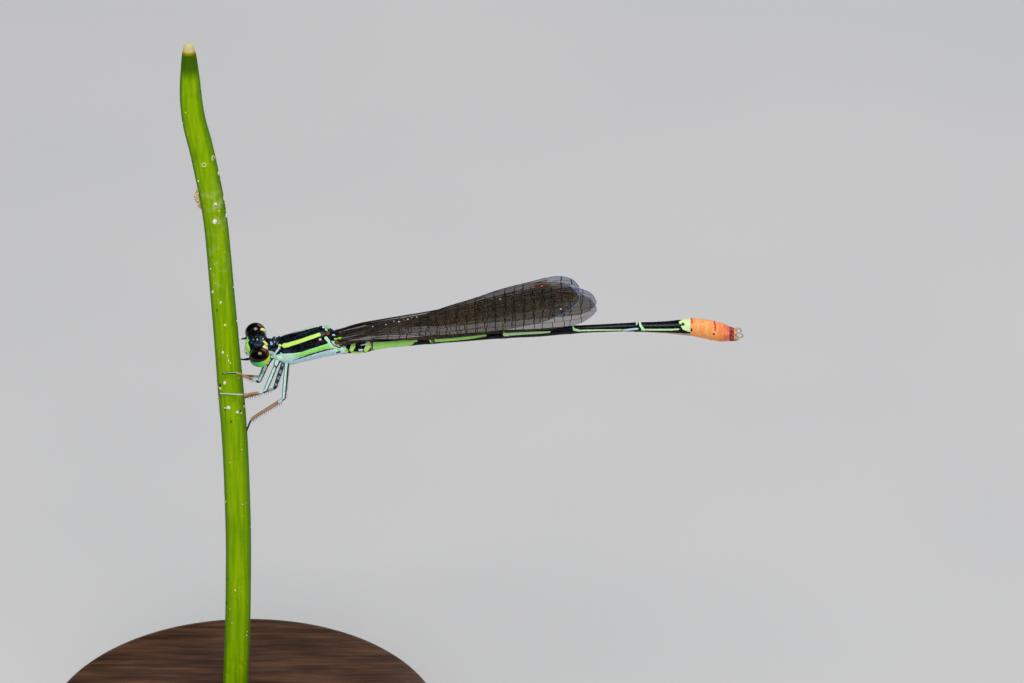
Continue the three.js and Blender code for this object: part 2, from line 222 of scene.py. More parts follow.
def link(name, data):
    """A new object of the scene."""
    made = bpy.data.objects.new(name, data)
    bpy.context.scene.collection.objects.link(made)
    return made


class Build:
    """Patches of one piece: their points, faces, material numbers and values at each point."""

    def __init__(self):
        self.points, self.faces, self.slots, self.values, self.count = [], [], [], {}, 0

    def grid(self, points, slot=0, around=True, **values):
        """Rows of points. Rows that go around are rings, and both ends are closed."""
        rows, columns = points.shape[:2]
        flat = points.reshape(-1, 3)
        values = {k: np.broadcast_to(v, (rows, columns)).reshape(-1) for k, v in values.items()}
        i, j = np.meshgrid(np.arange(rows - 1), np.arange(columns if around else columns - 1), indexing="ij")
        a = (i * columns + j).ravel()
        b = (i * columns + (j + 1) % columns).ravel()
        faces = np.stack([a, b, b + columns, a + columns], 1).tolist()
        if around:
            first, last = rows * columns, (rows - 1) * columns
            for k in range(columns):
                following = (k + 1) % columns
                faces += [[first, following, k], [first + 1, last + k, last + following]]
            flat = np.concatenate([flat, [points[0].mean(0), points[-1].mean(0)]])
            values = {k: np.append(v, [v[:columns].mean(), v[-columns:].mean()]) for k, v in values.items()}
            middle = points[rows // 2]
            normal = np.cross(middle[1] - middle[0], points[min(rows // 2 + 1, rows - 1)][0] - middle[0])
            if normal @ (middle[0] - middle.mean(0)) < 0:
                faces = [face[::-1] for face in faces]
        for name, value in values.items():
            held = self.values.get(name, np.zeros(0))
            self.values[name] = np.concatenate([held, np.zeros(self.count - len(held)), value])
        self.points.append(flat)
        self.faces += [[i + self.count for i in face] for face in faces]
        self.slots += [slot] * len(faces)
        self.count += len(flat)

    def rod(self, line, radius, sides, slot=0, **values):
        self.grid(tube(line, radius, sides)[0], slot, **values)

    def make(self, name, looks, smooth_faces=True):
        mesh = bpy.data.meshes.new(name)
        mesh.from_pydata((np.concatenate(self.points) * MM).tolist(), [], self.faces)
        mesh.polygons.foreach_set("material_index", self.slots)
        mesh.polygons.foreach_set("use_smooth", [smooth_faces] * len(self.faces))
        for key, value in self.values.items():
            value = np.concatenate([value, np.zeros(self.count - len(value))])
            mesh.attributes.new(key, "FLOAT", "POINT").data.foreach_set("value", value.astype(np.float32))
        for look in looks:
            mesh.materials.append(look)
        mesh.update()
        piece = link(name, mesh)
        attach(piece, "root")
        return piece


def unit_ball(rows, columns, pole, axes=(0, 1, 2)):
    """Rings of points on a ball of radius 1, all but an angle pole at both ends of its last axis."""
    theta, phi = np.linspace(pole, np.pi - pole, rows)[:, None], circle(columns)[None]
    parts = [np.sin(theta) * np.cos(phi), np.sin(theta) * np.sin(phi), np.cos(theta) * np.ones_like(phi)]
    return np.stack([parts[axis] for axis in axes], -1)


def ball(build, centre, half, slot=0, rows=10, columns=14, **values):
    """A small rounded bead."""
    build.grid(np.array(centre) + unit_ball(rows, columns, 0.15) * np.array(half), slot, **values)


# Materials


def rgb(red, green, blue):
    """Linear colour of a screen colour."""
    c = np.array([red, green, blue]) / 255
    c = np.where(c <= 0.04045, c / 12.92, ((c + 0.055) / 1.055) ** 2.4)
    return (float(c[0]), float(c[1]), float(c[2]), 1.0)


class Look:
    """A node material built up in steps."""

    def __init__(self, name, **inputs):
        self.material = bpy.data.materials.new(name)
        self.material.use_nodes = True
        self.tree = self.material.node_tree
        self.tree.nodes.clear()
        self.shader = self.node("ShaderNodeBsdfPrincipled")
        out = self.node("ShaderNodeOutputMaterial")
        self.tree.links.new(self.shader.outputs[0], out.inputs[0])
        self.place = self.node("ShaderNodeTexCoord").outputs["Object"]
        for key, value in inputs.items():
            self.shader.inputs[key.replace("_", " ")].default_value = value

    def node(self, kind, **settings):
        made = self.tree.nodes.new(kind)
        for key, value in settings.items():
            setattr(made, key, value)
        return made

    def feed(self, socket, value):
        """Links an input to a node, or sets it. A tuple is a screen colour."""
        if isinstance(value, bpy.types.NodeSocket):
            self.tree.links.new(value, socket)
        else:
            socket.default_value = rgb(*value) if isinstance(value, tuple) else value

    def attribute(self, name):
        return self.node("ShaderNodeAttribute", attribute_name=name).outputs["Fac"]

    def maths(self, operation, a, b):
        made = self.node("ShaderNodeMath", operation=operation)
        self.feed(made.inputs[0], a)
        self.feed(made.inputs[1], b)
        return made.outputs[0]

    def step(self, value, low, high, start=0.0, end=1.0):
        made = self.node("ShaderNodeMapRange", interpolation_type="SMOOTHSTEP")
        for k, v in enumerate([value, low, high, start, end]):
            self.feed(made.inputs[k], v)
        return made.outputs[0]

    def stretched(self, x, y, z):
        made = self.node("ShaderNodeMapping")
        self.feed(made.inputs["Vector"], self.place)
        made.inputs["Scale"].default_value = (x, y, z)
        return made.outputs[0]

    def noise(self, per_mm, detail=3.0, rough=0.5, place=None):
        made = self.node("ShaderNodeTexNoise")
        self.feed(made.inputs["Vector"], place or self.place)
        made.inputs["Scale"].default_value = per_mm * 1000
        made.inputs["Detail"].default_value = detail
        made.inputs["Roughness"].default_value = rough
        return made.outputs["Fac"]

    def jitter(self, per_mm, size):
        """Noise that swings around 0."""
        return self.maths("MULTIPLY", self.maths("SUBTRACT", self.noise(per_mm), 0.5), size)

    def cells(self, per_mm):
        made = self.node("ShaderNodeTexVoronoi")
        self.feed(made.inputs["Vector"], self.place)
        made.inputs["Scale"].default_value = per_mm * 1000
        return made.outputs["Distance"]

    def ramp(self, value, stops):
        made = self.node("ShaderNodeValToRGB")
        elements = made.color_ramp.elements
        while len(elements) < len(stops):
            elements.new(0.5)
        for element, (where, colour) in zip(elements, stops):
            element.position = where
            element.color = rgb(*colour)
        self.feed(made.inputs[0], value)
        return made.outputs[0]

    def mix(self, share, a, b, blend="MIX"):
        made = self.node("ShaderNodeMix", data_type="RGBA", blend_type=blend)
        self.feed(made.inputs["Factor"], share)
        self.feed(made.inputs[6], a)
        self.feed(made.inputs[7], b)
        return made.outputs[2]

    def patchy(self, under, over, value, low, high, share=1.0):
        """One colour over another where a value is high."""
        return self.mix(self.step(value, low, high, 0.0, share), under, over)

    def bump(self, value, depth, strength):
        made = self.node("ShaderNodeBump")
        made.inputs["Strength"].default_value = strength
        made.inputs["Distance"].default_value = depth * MM
        self.feed(made.inputs["Height"], value)
        self.feed(self.shader.inputs["Normal"], made.outputs[0])

    def colour(self, value):
        self.feed(self.shader.inputs["Base Color"], value)

    def rough(self, value):
        self.feed(self.shader.inputs["Roughness"], value)


# Tones that the marks of the body take, in the order of one ramp.
GREEN, LIME, CREAM, MINT, BLUE_WHITE = 0.0, 0.12, 0.24, 0.36, 0.48
STRAW, BROWN, ORANGE, PINK, DARK_RED = 0.58, 0.65, 0.8, 0.9, 1.0
TONES = [
    (GREEN, (140, 240, 116)),
    (LIME, (202, 245, 104)),
    (CREAM, (246, 246, 150)),
    (MINT, (196, 252, 190)),
    (BLUE_WHITE, (200, 240, 248)),
    (STRAW, (176, 120, 52)),
    (BROWN, (82, 38, 18)),
    (0.73, (255, 200, 130)),
    (ORANGE, (255, 156, 72)),
    (PINK, (214, 44, 70)),
    (DARK_RED, (96, 10, 14)),
]


def cuticle():
    """Black body shell with pale marks. The mark value is the distance inside a mark in millimetres."""
    look = Look("cuticle", Specular_IOR_Level=0.12, Coat_Weight=0.1, Coat_Roughness=0.12)
    share = look.step(look.maths("ADD", look.attribute("mark"), look.jitter(22, 0.035)), -0.008, 0.008)
    pale = look.ramp(look.maths("ADD", look.attribute("tone"), look.jitter(7, 0.05)), TONES)
    pale = look.patchy(pale, (252, 252, 225), look.noise(12, 5), 0.4, 0.75, 0.2)
    pale = look.patchy(pale, look.mix(0.5, pale, (30, 50, 10), "MULTIPLY"), look.noise(9, 3), 0.6, 0.4, 0.16)
    black = look.patchy((2, 2, 4), (7, 10, 18), look.noise(5), 0.4, 0.7)
    # Bluish grey specks on the black are painted highlights.
    black = look.patchy(black, (70, 88, 120), look.noise(24, 2), 0.59, 0.7, 0.8)
    # Where this attribute is high the black takes a bluish slate tone, a painted sheen, and pale marks turn
    # bluish, their own colour.
    blue = look.attribute("blue")
    sheen = look.maths("MULTIPLY", blue, look.step(look.noise(9, 3), 0.3, 0.65, 0.35, 1.0))
    black = look.mix(sheen, black, (62, 74, 104))
    pale = look.mix(look.maths("MULTIPLY", blue, 0.8), pale, (110, 172, 255))
    look.colour(look.mix(share, black, pale))
    look.rough(look.step(look.noise(18), 0.3, 0.7, 0.24, 0.42))
    look.bump(look.noise(40, 2), 0.008, 0.8)
    return look.material


def mottled(name, dark, light, per_mm, low, rough, **inputs):
    """A look of two colours that a noise mixes evenly."""
    look = Look(name, **inputs)
    look.colour(look.patchy(dark, light, look.noise(per_mm), low, 1 - low))
    look.rough(rough)
    return look


def eye_look():
    """Facets that are black-brown above and green to yellow below a crisp line."""
    look = Look("eye", Specular_IOR_Level=0.02, Coat_Weight=1.0, Coat_IOR=1.45, Coat_Roughness=0.16)
    share = look.step(look.maths("ADD", look.attribute("low"), look.jitter(16, 0.02)), -0.01, 0.012)
    under = look.ramp(
        look.attribute("back"),
        [(0, (20, 150, 80)), (0.35, (60, 208, 96)), (0.62, (120, 226, 84)), (0.86, (206, 228, 22))],
    )
    over = look.ramp(
        look.attribute("brown"), [(0.0, (2, 1, 1)), (0.35, (28, 12, 4)), (1.0, (160, 86, 34))]
    )
    over = look.patchy(over, (60, 36, 24), look.cells(34), 0.3, 0.6, 0.06)
    look.colour(look.mix(share, over, under))
    look.rough(0.32)
    look.bump(look.cells(34), 0.005, 0.5)
    return look.material


def membrane_look():
    """Smoky clear film with a faint wrinkle, darker in the stalk."""
    look = Look("membrane", Specular_IOR_Level=0.12)
    tint = look.patchy((34, 24, 12), (64, 49, 30), look.noise(1.6, 4), 0.35, 0.65)
    look.colour(look.patchy(tint, (104, 102, 98), look.noise(7, 2), 0.62, 0.74, 0.4))
    look.feed(look.shader.inputs["Alpha"], look.step(look.attribute("stalk"), 0.0, 1.0, 0.58, 0.78))
    look.rough(look.step(look.noise(4), 0.3, 0.7, 0.25, 0.45))
    look.bump(look.noise(6, 2), 0.02, 0.5)
    return look.material


def vein_look(name, dark, light):
    look = mottled(name, dark, light, 3, 0.35, 0.5)
    look.rough(look.step(look.noise(9), 0.3, 0.7, 0.25, 0.45))
    return look.material


def stigma_look():
    """Rusty wing spot that fades at both ends."""
    look = mottled("wing_spot", (66, 20, 2), (126, 46, 6), 6, 0.3, 0.35, Specular_IOR_Level=0.4)
    look.feed(look.shader.inputs["Alpha"], look.step(look.attribute("fade"), 0.0, 1.0, 0.0, 0.92))
    return look.material


def clasper_look():
    glow = {"Subsurface_Weight": 0.2, "Subsurface_Radius": (0.0002, 0.0001, 0.00005)}
    return mottled("clasper", (170, 150, 128), (214, 196, 170), 12, 0.3, 0.35, Alpha=0.85, **glow).material


def stem_look():
    """Fresh green rind with faint lengthwise streaks, painted shade on the flanks, pale scuffs and a dry tip.
    """
    look = Look("stem_rind", Specular_IOR_Level=0.05)
    streaks = look.noise(7, 3, place=look.stretched(1, 1, 0.05))
    fine = look.noise(26, 2, place=look.stretched(1, 1, 0.1))
    rind = look.ramp(streaks, [(0.32, (112, 158, 0)), (0.5, (134, 178, 0)), (0.7, (154, 192, 2))])
    rind = look.patchy(rind, (174, 204, 14), fine, 0.4, 0.7, 0.16)
    rind = look.patchy(rind, (90, 136, 0), look.noise(1.3, 3), 0.5, 0.75, 0.35)
    # Painted shade: the rind darkens towards its left and right sides.
    rind = look.patchy(rind, (74, 122, 0), look.attribute("flank"), 0.25, 1.0, 0.85)
    rind = look.patchy(rind, (214, 222, 66), look.noise(7.5, 1), 0.72, 0.76, 0.6)
    scuff = look.maths("MULTIPLY", look.attribute("scuff"), look.step(look.noise(2.2, 4), 0.5, 0.62))
    rind = look.mix(look.maths("MULTIPLY", scuff, 0.55), rind, (196, 204, 130))
    tip = look.ramp(
        look.attribute("cap"),
        [(0, (82, 124, 0)), (0.5, (64, 100, 0)), (0.62, (176, 160, 4)), (0.74, (206, 196, 138))],
    )
    look.colour(look.patchy(rind, tip, look.attribute("cap"), 0.0, 0.35))
    look.rough(look.step(look.noise(8), 0.3, 0.7, 0.4, 0.6))
    look.bump(fine, 0.02, 0.4)
    return look.material


def fleck_look(name, dark, light, rough=0.4):
    look = mottled(name, dark, light, 14, 0.4, rough)
    look.bump(look.noise(20), 0.01, 0.6)
    return look.material


def wood_look():
    look = Look("stand_wood", Coat_Weight=0.15, Coat_Roughness=0.3)
    grain = look.noise(2.6, 6, 0.62, place=look.stretched(0.09, 1, 0.5))
    pores = look.noise(13, 3, place=look.stretched(0.05, 1, 1))
    wood = look.ramp(grain, [(0.32, (50, 32, 22)), (0.5, (78, 52, 36)), (0.66, (104, 72, 50))])
    look.colour(look.patchy(wood, (34, 22, 16), pores, 0.6, 0.72, 0.6))
    look.rough(look.step(pores, 0.4, 0.7, 0.36, 0.55))
    look.bump(pores, 0.02, 0.3)
    return look.material


def metal_look():
    look = Look("stand_metal", Metallic=1.0)
    brushed = look.noise(12, 2, place=look.stretched(1, 1, 0.1))
    look.colour(look.patchy((176, 142, 78), (206, 174, 104), brushed, 0.3, 0.7))
    look.rough(look.step(brushed, 0.3, 0.7, 0.25, 0.38))
    return look.material


CUTICLE, EYE = cuticle(), eye_look()
BRISTLE = mottled("bristle", (38, 30, 26), (70, 60, 52), 10, 0.4, 0.5).material


# Camera, floor and light

camera = link("camera", bpy.data.cameras.new("camera"))
camera.data.lens = 250
camera.data.sensor_width = 36
camera.data.clip_start = 0.01
camera.data.clip_end = 10
camera.location = Vector(AIM * MM) + Vector((0, -RISE, LEAN)) * DISTANCE * MM
camera.rotation_euler = (math.pi / 2 - LIFT, 0, 0)
bpy.context.scene.camera = camera

floor_mesh = bpy.data.meshes.new("floor")
floor_mesh.from_pydata([(-2, -2, 0), (2, -2, 0), (2, 2, 0), (-2, 2, 0)], [], [[0, 1, 2, 3]])
floor = link("floor", floor_mesh)
paint = Look("floor")
paint.colour(paint.patchy((199, 200, 200), (206, 206, 206), paint.noise(0.02), 0.3, 0.7))
paint.rough(0.8)
floor_mesh.materials.append(paint.material)


def lamp(name, direction, distance, size, power, colour=(1, 1, 1)):
    data = bpy.data.lights.new(name, "AREA")
    data.shape = "DISK"
    data.size = size
    data.energy = power
    data.color = colour
    light = link(name, data)
    way = Vector(direction).normalized()
    light.location = Vector(AIM * MM) + way * distance
    light.rotation_euler = (-way).to_track_quat("-Z", "Y").to_euler()
    return light


lamp("key", (0.04, -0.36, 0.93), 0.4, 0.22, 1.2, (1, 0.97, 0.95))
lamp("front", (-0.25, -0.95, 0.2), 0.5, 0.8, 0.75).visible_glossy = False
lamp("back", (0.5, 0.8, 0.7), 0.5, 0.3, 0.45, (0.93, 0.96, 1))
world = bpy.data.worlds.new("studio")
world.use_nodes = True
world.node_tree.nodes["Background"].inputs[0].default_value = (0.9, 0.93, 1.0, 1)
world.node_tree.nodes["Background"].inputs[1].default_value = 0.3
world.cycles_visibility.glossy = False
bpy.context.scene.world = world
bpy.context.scene.view_settings.view_transform = "Standard"


# Thorax, prothorax and neck

BACK_LINE = [[1.9, 21.5], [2.1, 21.58], [3.0, 21.86], [3.8, 22.06], [4.15, 21.98], [4.7, 21.46], [5.0, 21.3]]
BREAST_LINE = [
    [1.9, 20.5], [2.1, 20.34], [2.45, 20.26], [3, 20.41], [4, 20.66], [4.7, 20.78], [5, 20.82],
]
HALF_WIDTH = [
    [1.9, 0.36], [2, 0.48], [2.6, 0.62], [3.3, 0.66], [3.9, 0.6], [4.4, 0.46], [4.8, 0.32], [5, 0.26],
]
SHOULDER = 0.1  # share by which the back is narrower
NO_MARK, ALL_MARK = -0.1, 0.1  # values of a patch that is all black, or all pale

skin = Build()


def trunk(xs, high, low, half, columns):
    """Rings of an egg-like section with a narrow back. Returns points and the angle from the top."""
    angle = circle(columns)
    rise = np.cos(angle)[None]
    shoulder = 1 - SHOULDER * np.maximum(rise, 0) ** 2
    middle, reach = ((high + low) / 2)[:, None], ((high - low) / 2)[:, None]
    lift = np.where(rise < 0, -np.abs(rise) ** 0.8, rise)
    z = middle + reach * lift
    y = half[:, None] * np.sin(angle)[None] * shoulder
    return np.stack([np.broadcast_to(xs[:, None], z.shape), y, z], -1), angle


def thorax():
    xs = np.linspace(1.92, 4.86, 240)
    ends = 0.55 + 0.45 * np.sqrt(np.clip((xs - 1.9) / 0.1, 0, 1))
    high, low, half = along(BACK_LINE, xs), along(BREAST_LINE, xs), along(HALF_WIDTH, xs) * ends
    points, angle = trunk(xs, high, low, half, 264)
    keel = 0.03 * swell(np.minimum(angle, 2 * np.pi - angle), 0.07) * smooth(1.95, 2.2, xs)[:, None]
    points[..., 2] += keel * smooth(4.1, 3.8, xs)[:, None]
    whole = Shown(points)
    grooves = (
        [(283, 349, 0.5), (300, 346.5, 0.5), (323, 340, 0.5)],
        [(290, 353, 0.5), (308, 350, 0.5), (328, 343, 0.5)],
        [(296, 358.5, 0.5), (309, 354.8, 0.5), (326, 349.6, 0.5), (340, 349, 0.5)],
    )
    depth = sum(0.018 * smooth(-0.05, 0.02, whole.bands(groove)) for groove in grooves)
    out = points - np.stack([xs, np.zeros_like(xs), (high + low) / 2], 1)[:, None]
    points -= depth[..., None] * out / np.linalg.norm(out, axis=-1)[..., None]
    side = Shown(points)
    upper = side.bands([(284.2, 345.6, 2.2), (288, 344.9, 2.1), (300, 341.2, 1.9), (319, 334.6, 1.8)])
    upper = both(upper, side.bands([(279.8, 345.6, 1.25), (280.3, 345.5, 1.25)]))
    under = side.below(
        (276, 350), (283, 353.8), (296, 353), (303, 351.6), (312, 348.6), (327, 343.8), (331, 341),
    )
    rear_dot = side.bands([(320, 339.6, 1.0), (320.6, 339.4, 1.0)])
    front = side.bands([(276.5, 354, 1.1), (279.6, 348.8, 1.0)])
    chest = side.bands([(278.5, 357.4, 3.6), (284, 357.5, 3.0)])
    behind = side.bands(
        [(326.5, 329, 1.6), (328, 327, 1.5)], [(332, 347, 2.2), (338, 348, 2.4)],
        [(326, 338, 1.6), (329, 341.5, 1.4)],
    )
    dark = side.bands(
        [(293, 360.4, 0.2), (300, 358.2, 0.5), (309, 355, 0.7), (326, 350, 0.7), (334, 348.8, 0.4)],
        [(330.5, 341.5, 0.6), (334, 345.6, 0.6), (339.5, 347.6, 0.7), (344, 344.4, 0.9)],
        [(336.6, 352.8, 0.6), (339.6, 351.8, 0.9)],
    )
    mark = without(both(upper, under, rear_dot, front, behind, chest), dark)
    green_side = side.bands(
        [(284, 356.3, 1.2), (292, 355.6, 1.9), (302, 353.8, 2.4), (312, 350.8, 2.6), (327.5, 346.0, 2.4)]
    )
    green = np.where(side.px > 299 - 3 * (mark > 0.06), GREEN + 0.02, MINT + 0.03)
    far_stripe = [(281.4, 338.2, 1.1), (291, 335.0, 1.2), (300, 331.9, 1.1), (318.5, 326.0, 0.9)]
    far = np.where(points[..., 1] > 0, Shown(points, seen).bands(far_stripe), -1)
    tone = toned(
        BLUE_WHITE,
        (chest, -0.03, MINT + 0.07),
        (front, -0.03, MINT),
        (green_side, -0.01, green),
        (far, -0.02, MINT - 0.03),
        (upper, -0.03, LIME),
        (behind, -0.02, MINT),
    )
    # Painted sheen: along these bands the black takes a bluish slate tone.
    gleam = side.bands(
        [(298, 335.4, 0.3), (306, 332.6, 0.7), (317, 328.6, 0.5)], [(284, 351.4, 1.2), (291, 350.8, 0.9)],
    )
    skin.grid(points, mark=both(mark, far), tone=tone, blue=0.4 * smooth(-0.06, 0.05, gleam))
    ball(skin, at(280.4, 357.4, -0.4), [0.2, 0.13, 0.17], 0, 14, 20, mark=ALL_MARK, tone=MINT + 0.08)
    ball(skin, at(279.5, 345.7, -0.36), [0.065, 0.06, 0.075], mark=ALL_MARK, tone=LIME)
    ball(skin, at(291.5, 360.8, -0.3), [0.26, 0.1, 0.09], 0, 12, 18, mark=ALL_MARK, tone=BLUE_WHITE)


# Outline of the prothorax, from neck to thorax
NECK_TOP = [
    [1.2, 21.22], [1.36, 21.36], [1.46, 21.46], [1.57, 21.44], [1.72, 21.54], [1.83, 21.5], [1.92, 21.56],
    [1.99, 21.5], [2.02, 21.3],
]
NECK_UNDERSIDE = [[1.2, 20.95], [1.4, 20.78], [1.6, 20.6], [1.8, 20.52], [2.02, 20.6]]
NECK_HALF_WIDTH = [
    [1.2, 0.22], [1.38, 0.32], [1.48, 0.42], [1.58, 0.4], [1.72, 0.5], [1.84, 0.47], [1.93, 0.5],
    [2.02, 0.42],
]


def prothorax():
    xs = np.linspace(1.22, 2.02, 90)
    high, low, half = (along(table, xs) for table in (NECK_TOP, NECK_UNDERSIDE, NECK_HALF_WIDTH))
    points, _ = trunk(xs, high, low, half, 120)
    side = Shown(points)
    collar = side.bands([(271.2, 342.5, 1.0), (271.8, 344, 1.1)])
    chest = side.bands([(276.6, 357.4, 2.6), (279, 357.4, 3.4)])
    pale = side.bands(
        [(275, 336.5, 0.8), (275.6, 337.5, 0.8)], [(269.6, 338, 0.7), (270.2, 338.2, 0.7)],
        [(271, 352.5, 1.6), (273.5, 354, 1.8), (274, 358, 1.6)],
        [(273.5, 355.5, 0.9), (277.6, 350.2, 0.9), (279.5, 347.4, 0.9)],
        [(274.4, 341.6, 0.35), (274.6, 342.4, 0.35)], [(277.2, 343, 0.3), (277.4, 344.2, 0.3)],
        [(267, 351.2, 1.3), (269.5, 352.6, 1.4)],
    )
    # Painted sheen: two bluish slate lobes on the black. The collar is a real bluish mark.
    sheen = side.bands([(273, 340, 1.0), (277, 341.5, 1.2)], [(270, 349.6, 1.0), (275.5, 349.8, 1.2)])
    tone = np.where(chest > -0.02, MINT + 0.07, BLUE_WHITE)
    blue = smooth(-0.02, 0.03, both(collar, 0.4 * sheen))
    skin.grid(points, mark=both(collar, pale, chest), tone=tone, blue=blue)


thorax()
prothorax()


# Abdomen

ABDOMEN_LINE = [
    [4.5, 21.04], [5.6, 21.09], [6.13, 21.19], [7.23, 21.29], [8.63, 21.43], [9.86, 21.53], [11.74, 21.7],
    [13.36, 21.79], [14.71, 21.93], [16, 22.01], [17.64, 22.07], [18.6, 22.06], [19.48, 22.06],
    [19.95, 22.07], [20.4, 22.01], [21, 21.87], [21.6, 21.73], [22, 21.66],
]
JOINTS = [6.0, 8.63, 11.74, 14.76, 17.64, 19.93, 21.0, 21.6]
ABDOMEN_RADIUS = [
    [4.5, 0.3], [4.75, 0.3], [4.95, 0.27], [5.4, 0.29], [5.8, 0.27], [5.98, 0.25], [6.02, 0.25], [6.4, 0.22],
    [7.2, 0.19], [8.3, 0.182], [8.58, 0.2], [8.68, 0.2], [9.1, 0.18], [11.4, 0.178], [11.7, 0.195],
    [11.8, 0.195], [12.2, 0.178], [14.4, 0.178], [14.72, 0.195], [14.8, 0.19], [15.2, 0.172], [16.6, 0.18],
    [17.4, 0.2], [17.62, 0.225], [17.7, 0.215], [18.3, 0.235], [19, 0.28], [19.6, 0.345], [19.9, 0.38],
    [19.97, 0.385], [20.5, 0.4], [20.98, 0.415], [21.05, 0.405], [21.35, 0.38], [21.58, 0.33], [21.64, 0.31],
    [21.92, 0.26], [21.96, 0.2],
]
# Columns of the photo from which the tone changes along the abdomen
MINT_FROM, PALER_FROM, RING_FROM = 495, 638, 679
ORANGE_FROM, LAST_SEGMENT_FROM, RED_FROM, RIM_FROM = 690.4, 723.5, 729.5, 734.2


def abdomen():
    xs = np.linspace(4.55, 21.96, 1250)
    radius = along(ABDOMEN_RADIUS, xs)
    for joint in JOINTS:
        radius = radius - 0.016 * swell(xs - joint, 0.022)
    z = along(ABDOMEN_LINE, xs)
    slope = np.gradient(z, xs)
    flat = 1 / np.sqrt(1 + slope**2)
    angle = circle(80)
    taller = 1 + 0.06 * smooth(19.6, 20.6, xs)
    lift = radius[:, None] * taller[:, None] * np.cos(angle) - 0.012 * swell(np.pi - angle, 0.25)
    x = xs[:, None] - lift * (slope * flat)[:, None]
    points = np.stack([x, radius[:, None] * np.sin(angle), z[:, None] + lift * flat[:, None]], -1)
    side = Shown(points)
    px, bands = side.px, side.bands
    # Pale spots, and a pale line along the top of segment 2 that is a painted highlight.
    white_and_glint = bands(
        [(342.5, 344, 1), (343.5, 343, 1)], [(361.5, 345.2, 0.6), (369, 343.2, 0.8)],
        [(359.5, 350, 0.9), (362, 350, 0.9)],
    )
    lime = bands(
        [(343, 349, 2.2), (345.5, 351, 2.6)], [(351.5, 350, 1.9), (353, 346, 2.3), (354.6, 343.4, 1.1)],
        [(367.8, 341, 2), (368.4, 346, 2.6), (366, 350, 2.2)], [(352, 352.6, 0.8), (363, 352.4, 0.8)],
    )
    third = bands(
        [(375.6, 345.5, 3.6), (386, 344.2, 2.5), (405, 342.2, 2.1), (416.5, 340.6, 1.2)],
        [(375, 347, 3), (386, 346.5, 3), (404, 344.5, 2.6), (412, 342.5, 2)],
    )
    rings = bands([(372.2, 336, 1.1), (372.2, 352, 1.1)], [(432.6, 334, 0.7), (433, 346, 0.7)])
    stripes = bands(
        [(430.2, 340.4, 0.9), (431, 342.4, 0.6)], [(435.6, 338.6, 1.1), (436.2, 340.5, 1.8)],
        [(436, 340.6, 1.4), (452, 339.6, 1.4), (470, 337.6, 1.4), (485.5, 335.4, 0.9)],
        [(503.8, 331.8, 0.8), (504.6, 334.5, 1.7), (508, 334.6, 1.5)],
        [(506, 334.4, 1.4), (525, 333.3, 1.2), (540, 332.6, 1.1), (550, 332, 0.6)],
        [(573, 326.4, 0.5), (574.2, 329.6, 1.2), (579.5, 330.6, 0.9)],
        [(577, 330.6, 0.7), (600, 330.1, 0.7), (622, 329.9, 0.6)],
        [(639.6, 321.6, 0.9), (640.4, 325.5, 1), (643.2, 329.2, 1.3)],
        [(642, 329.8, 0.9), (660, 329.8, 0.85), (672, 329.7, 0.85), (678.5, 329.2, 0.7)],
    )
    belly = bands([(642, 332.3, 0.35), (668, 333.2, 0.6), (690, 334.6, 1.0)])
    grey = bands([(624, 330.2, 0.9), (637.5, 328.8, 0.9)], [(637, 321.6, 0.9), (636.6, 324, 0.7)])
    teeth = 1.3 * np.sin(angle * 7 + 0.6) + 0.7 * np.sin(angle * 15)
    start = 680 + teeth + 0.9 * np.maximum(side.py - 325, 0)
    ring = np.minimum((px - start) * STEP, (690.6 - px) * STEP)
    dot = bands([(682.8, 324.1, 1.45), (683.2, 324.3, 1.45)])
    ring = without(ring, side.below((676, 331.4), (692, 331.8)), dot)
    dents = bands([(690.8, 329.4, 1.3), (691.2, 330.2, 1.3)], [(713.6, 333.8, 0.9), (713.8, 334.2, 0.9)])
    tip = without((px - ORANGE_FROM) * STEP, dents)
    pink = bands(
        [(691.5, 317, 0.8), (692, 323.5, 0.8)], [(714, 321, 0.9), (715.4, 326, 1), (715.2, 330.5, 0.7)],
    )
    mint = np.where((px > MINT_FROM) & (px < RING_FROM), stripes, -1)
    tone = toned(
        GREEN + 0.05,
        (both(lime, white_and_glint), -0.02, LIME - 0.03),
        (white_and_glint, -0.01, BLUE_WHITE),
        (belly, -0.02, STRAW - 0.02),
        (grey, -0.02, BLUE_WHITE),
        (mint, -0.02, np.where(px > PALER_FROM, MINT - 0.02, MINT - 0.03)),
        (ring, -0.02, 0.5 * (MINT + CREAM) + 0.02),
        (rings, 0, BROWN),
        (px, ORANGE_FROM, ORANGE - 0.012 + 0.008 * np.sin(px * 0.7) + 0.03 * smooth(714, 722, px)),
        (pink, 0, PINK),
        (px, LAST_SEGMENT_FROM, ORANGE + 0.05 - 0.02 * np.sin(angle * 5)),
        (px, RED_FROM, DARK_RED - 0.06 * np.sin(angle * 4.5) ** 2),
        (px, RIM_FROM, 0.695 + 0.02 * np.sin(angle * 7)),
    )
    skin.grid(points, mark=both(lime, white_and_glint, third, stripes, belly, grey, ring, tip, rings), tone=tone)


abdomen()


# Claspers: two pale hooks and a short lower lobe at the tip

claspers = Build()
for side, forward in ((-1, 0.06), (1, 0.0)):
    hook = [
        (21.84, 0.14, 21.8), (21.97, 0.2, 21.88), (22.1, 0.22, 21.86), (22.17, 0.21, 21.77),
        (22.14, 0.19, 21.68), (22.05, 0.17, 21.64), (21.98, 0.16, 21.68),
    ]
    hook = curve([[x + forward, side * y, z] for x, y, z in hook], 36)
    claspers.rod(hook, taper(hook, [0, 0.5, 1], [0.045, 0.034, 0.02]), 12)
    lobe = curve([[21.86, side * 0.1, 21.56], [22.0, side * 0.11, 21.52], [22.08, side * 0.09, 21.55]], 14)
    claspers.rod(lobe, taper(lobe, [0, 0.7, 1], [0.07, 0.055, 0.02]), 12)
for angle in circle(15):
    centre = [21.93, 0.235 * math.sin(angle), 21.66 + 0.25 * math.cos(angle)]
    ball(claspers, centre, [0.035, 0.03, 0.03], 0, 7, 9)


# Head, built in its own upright frame and then turned

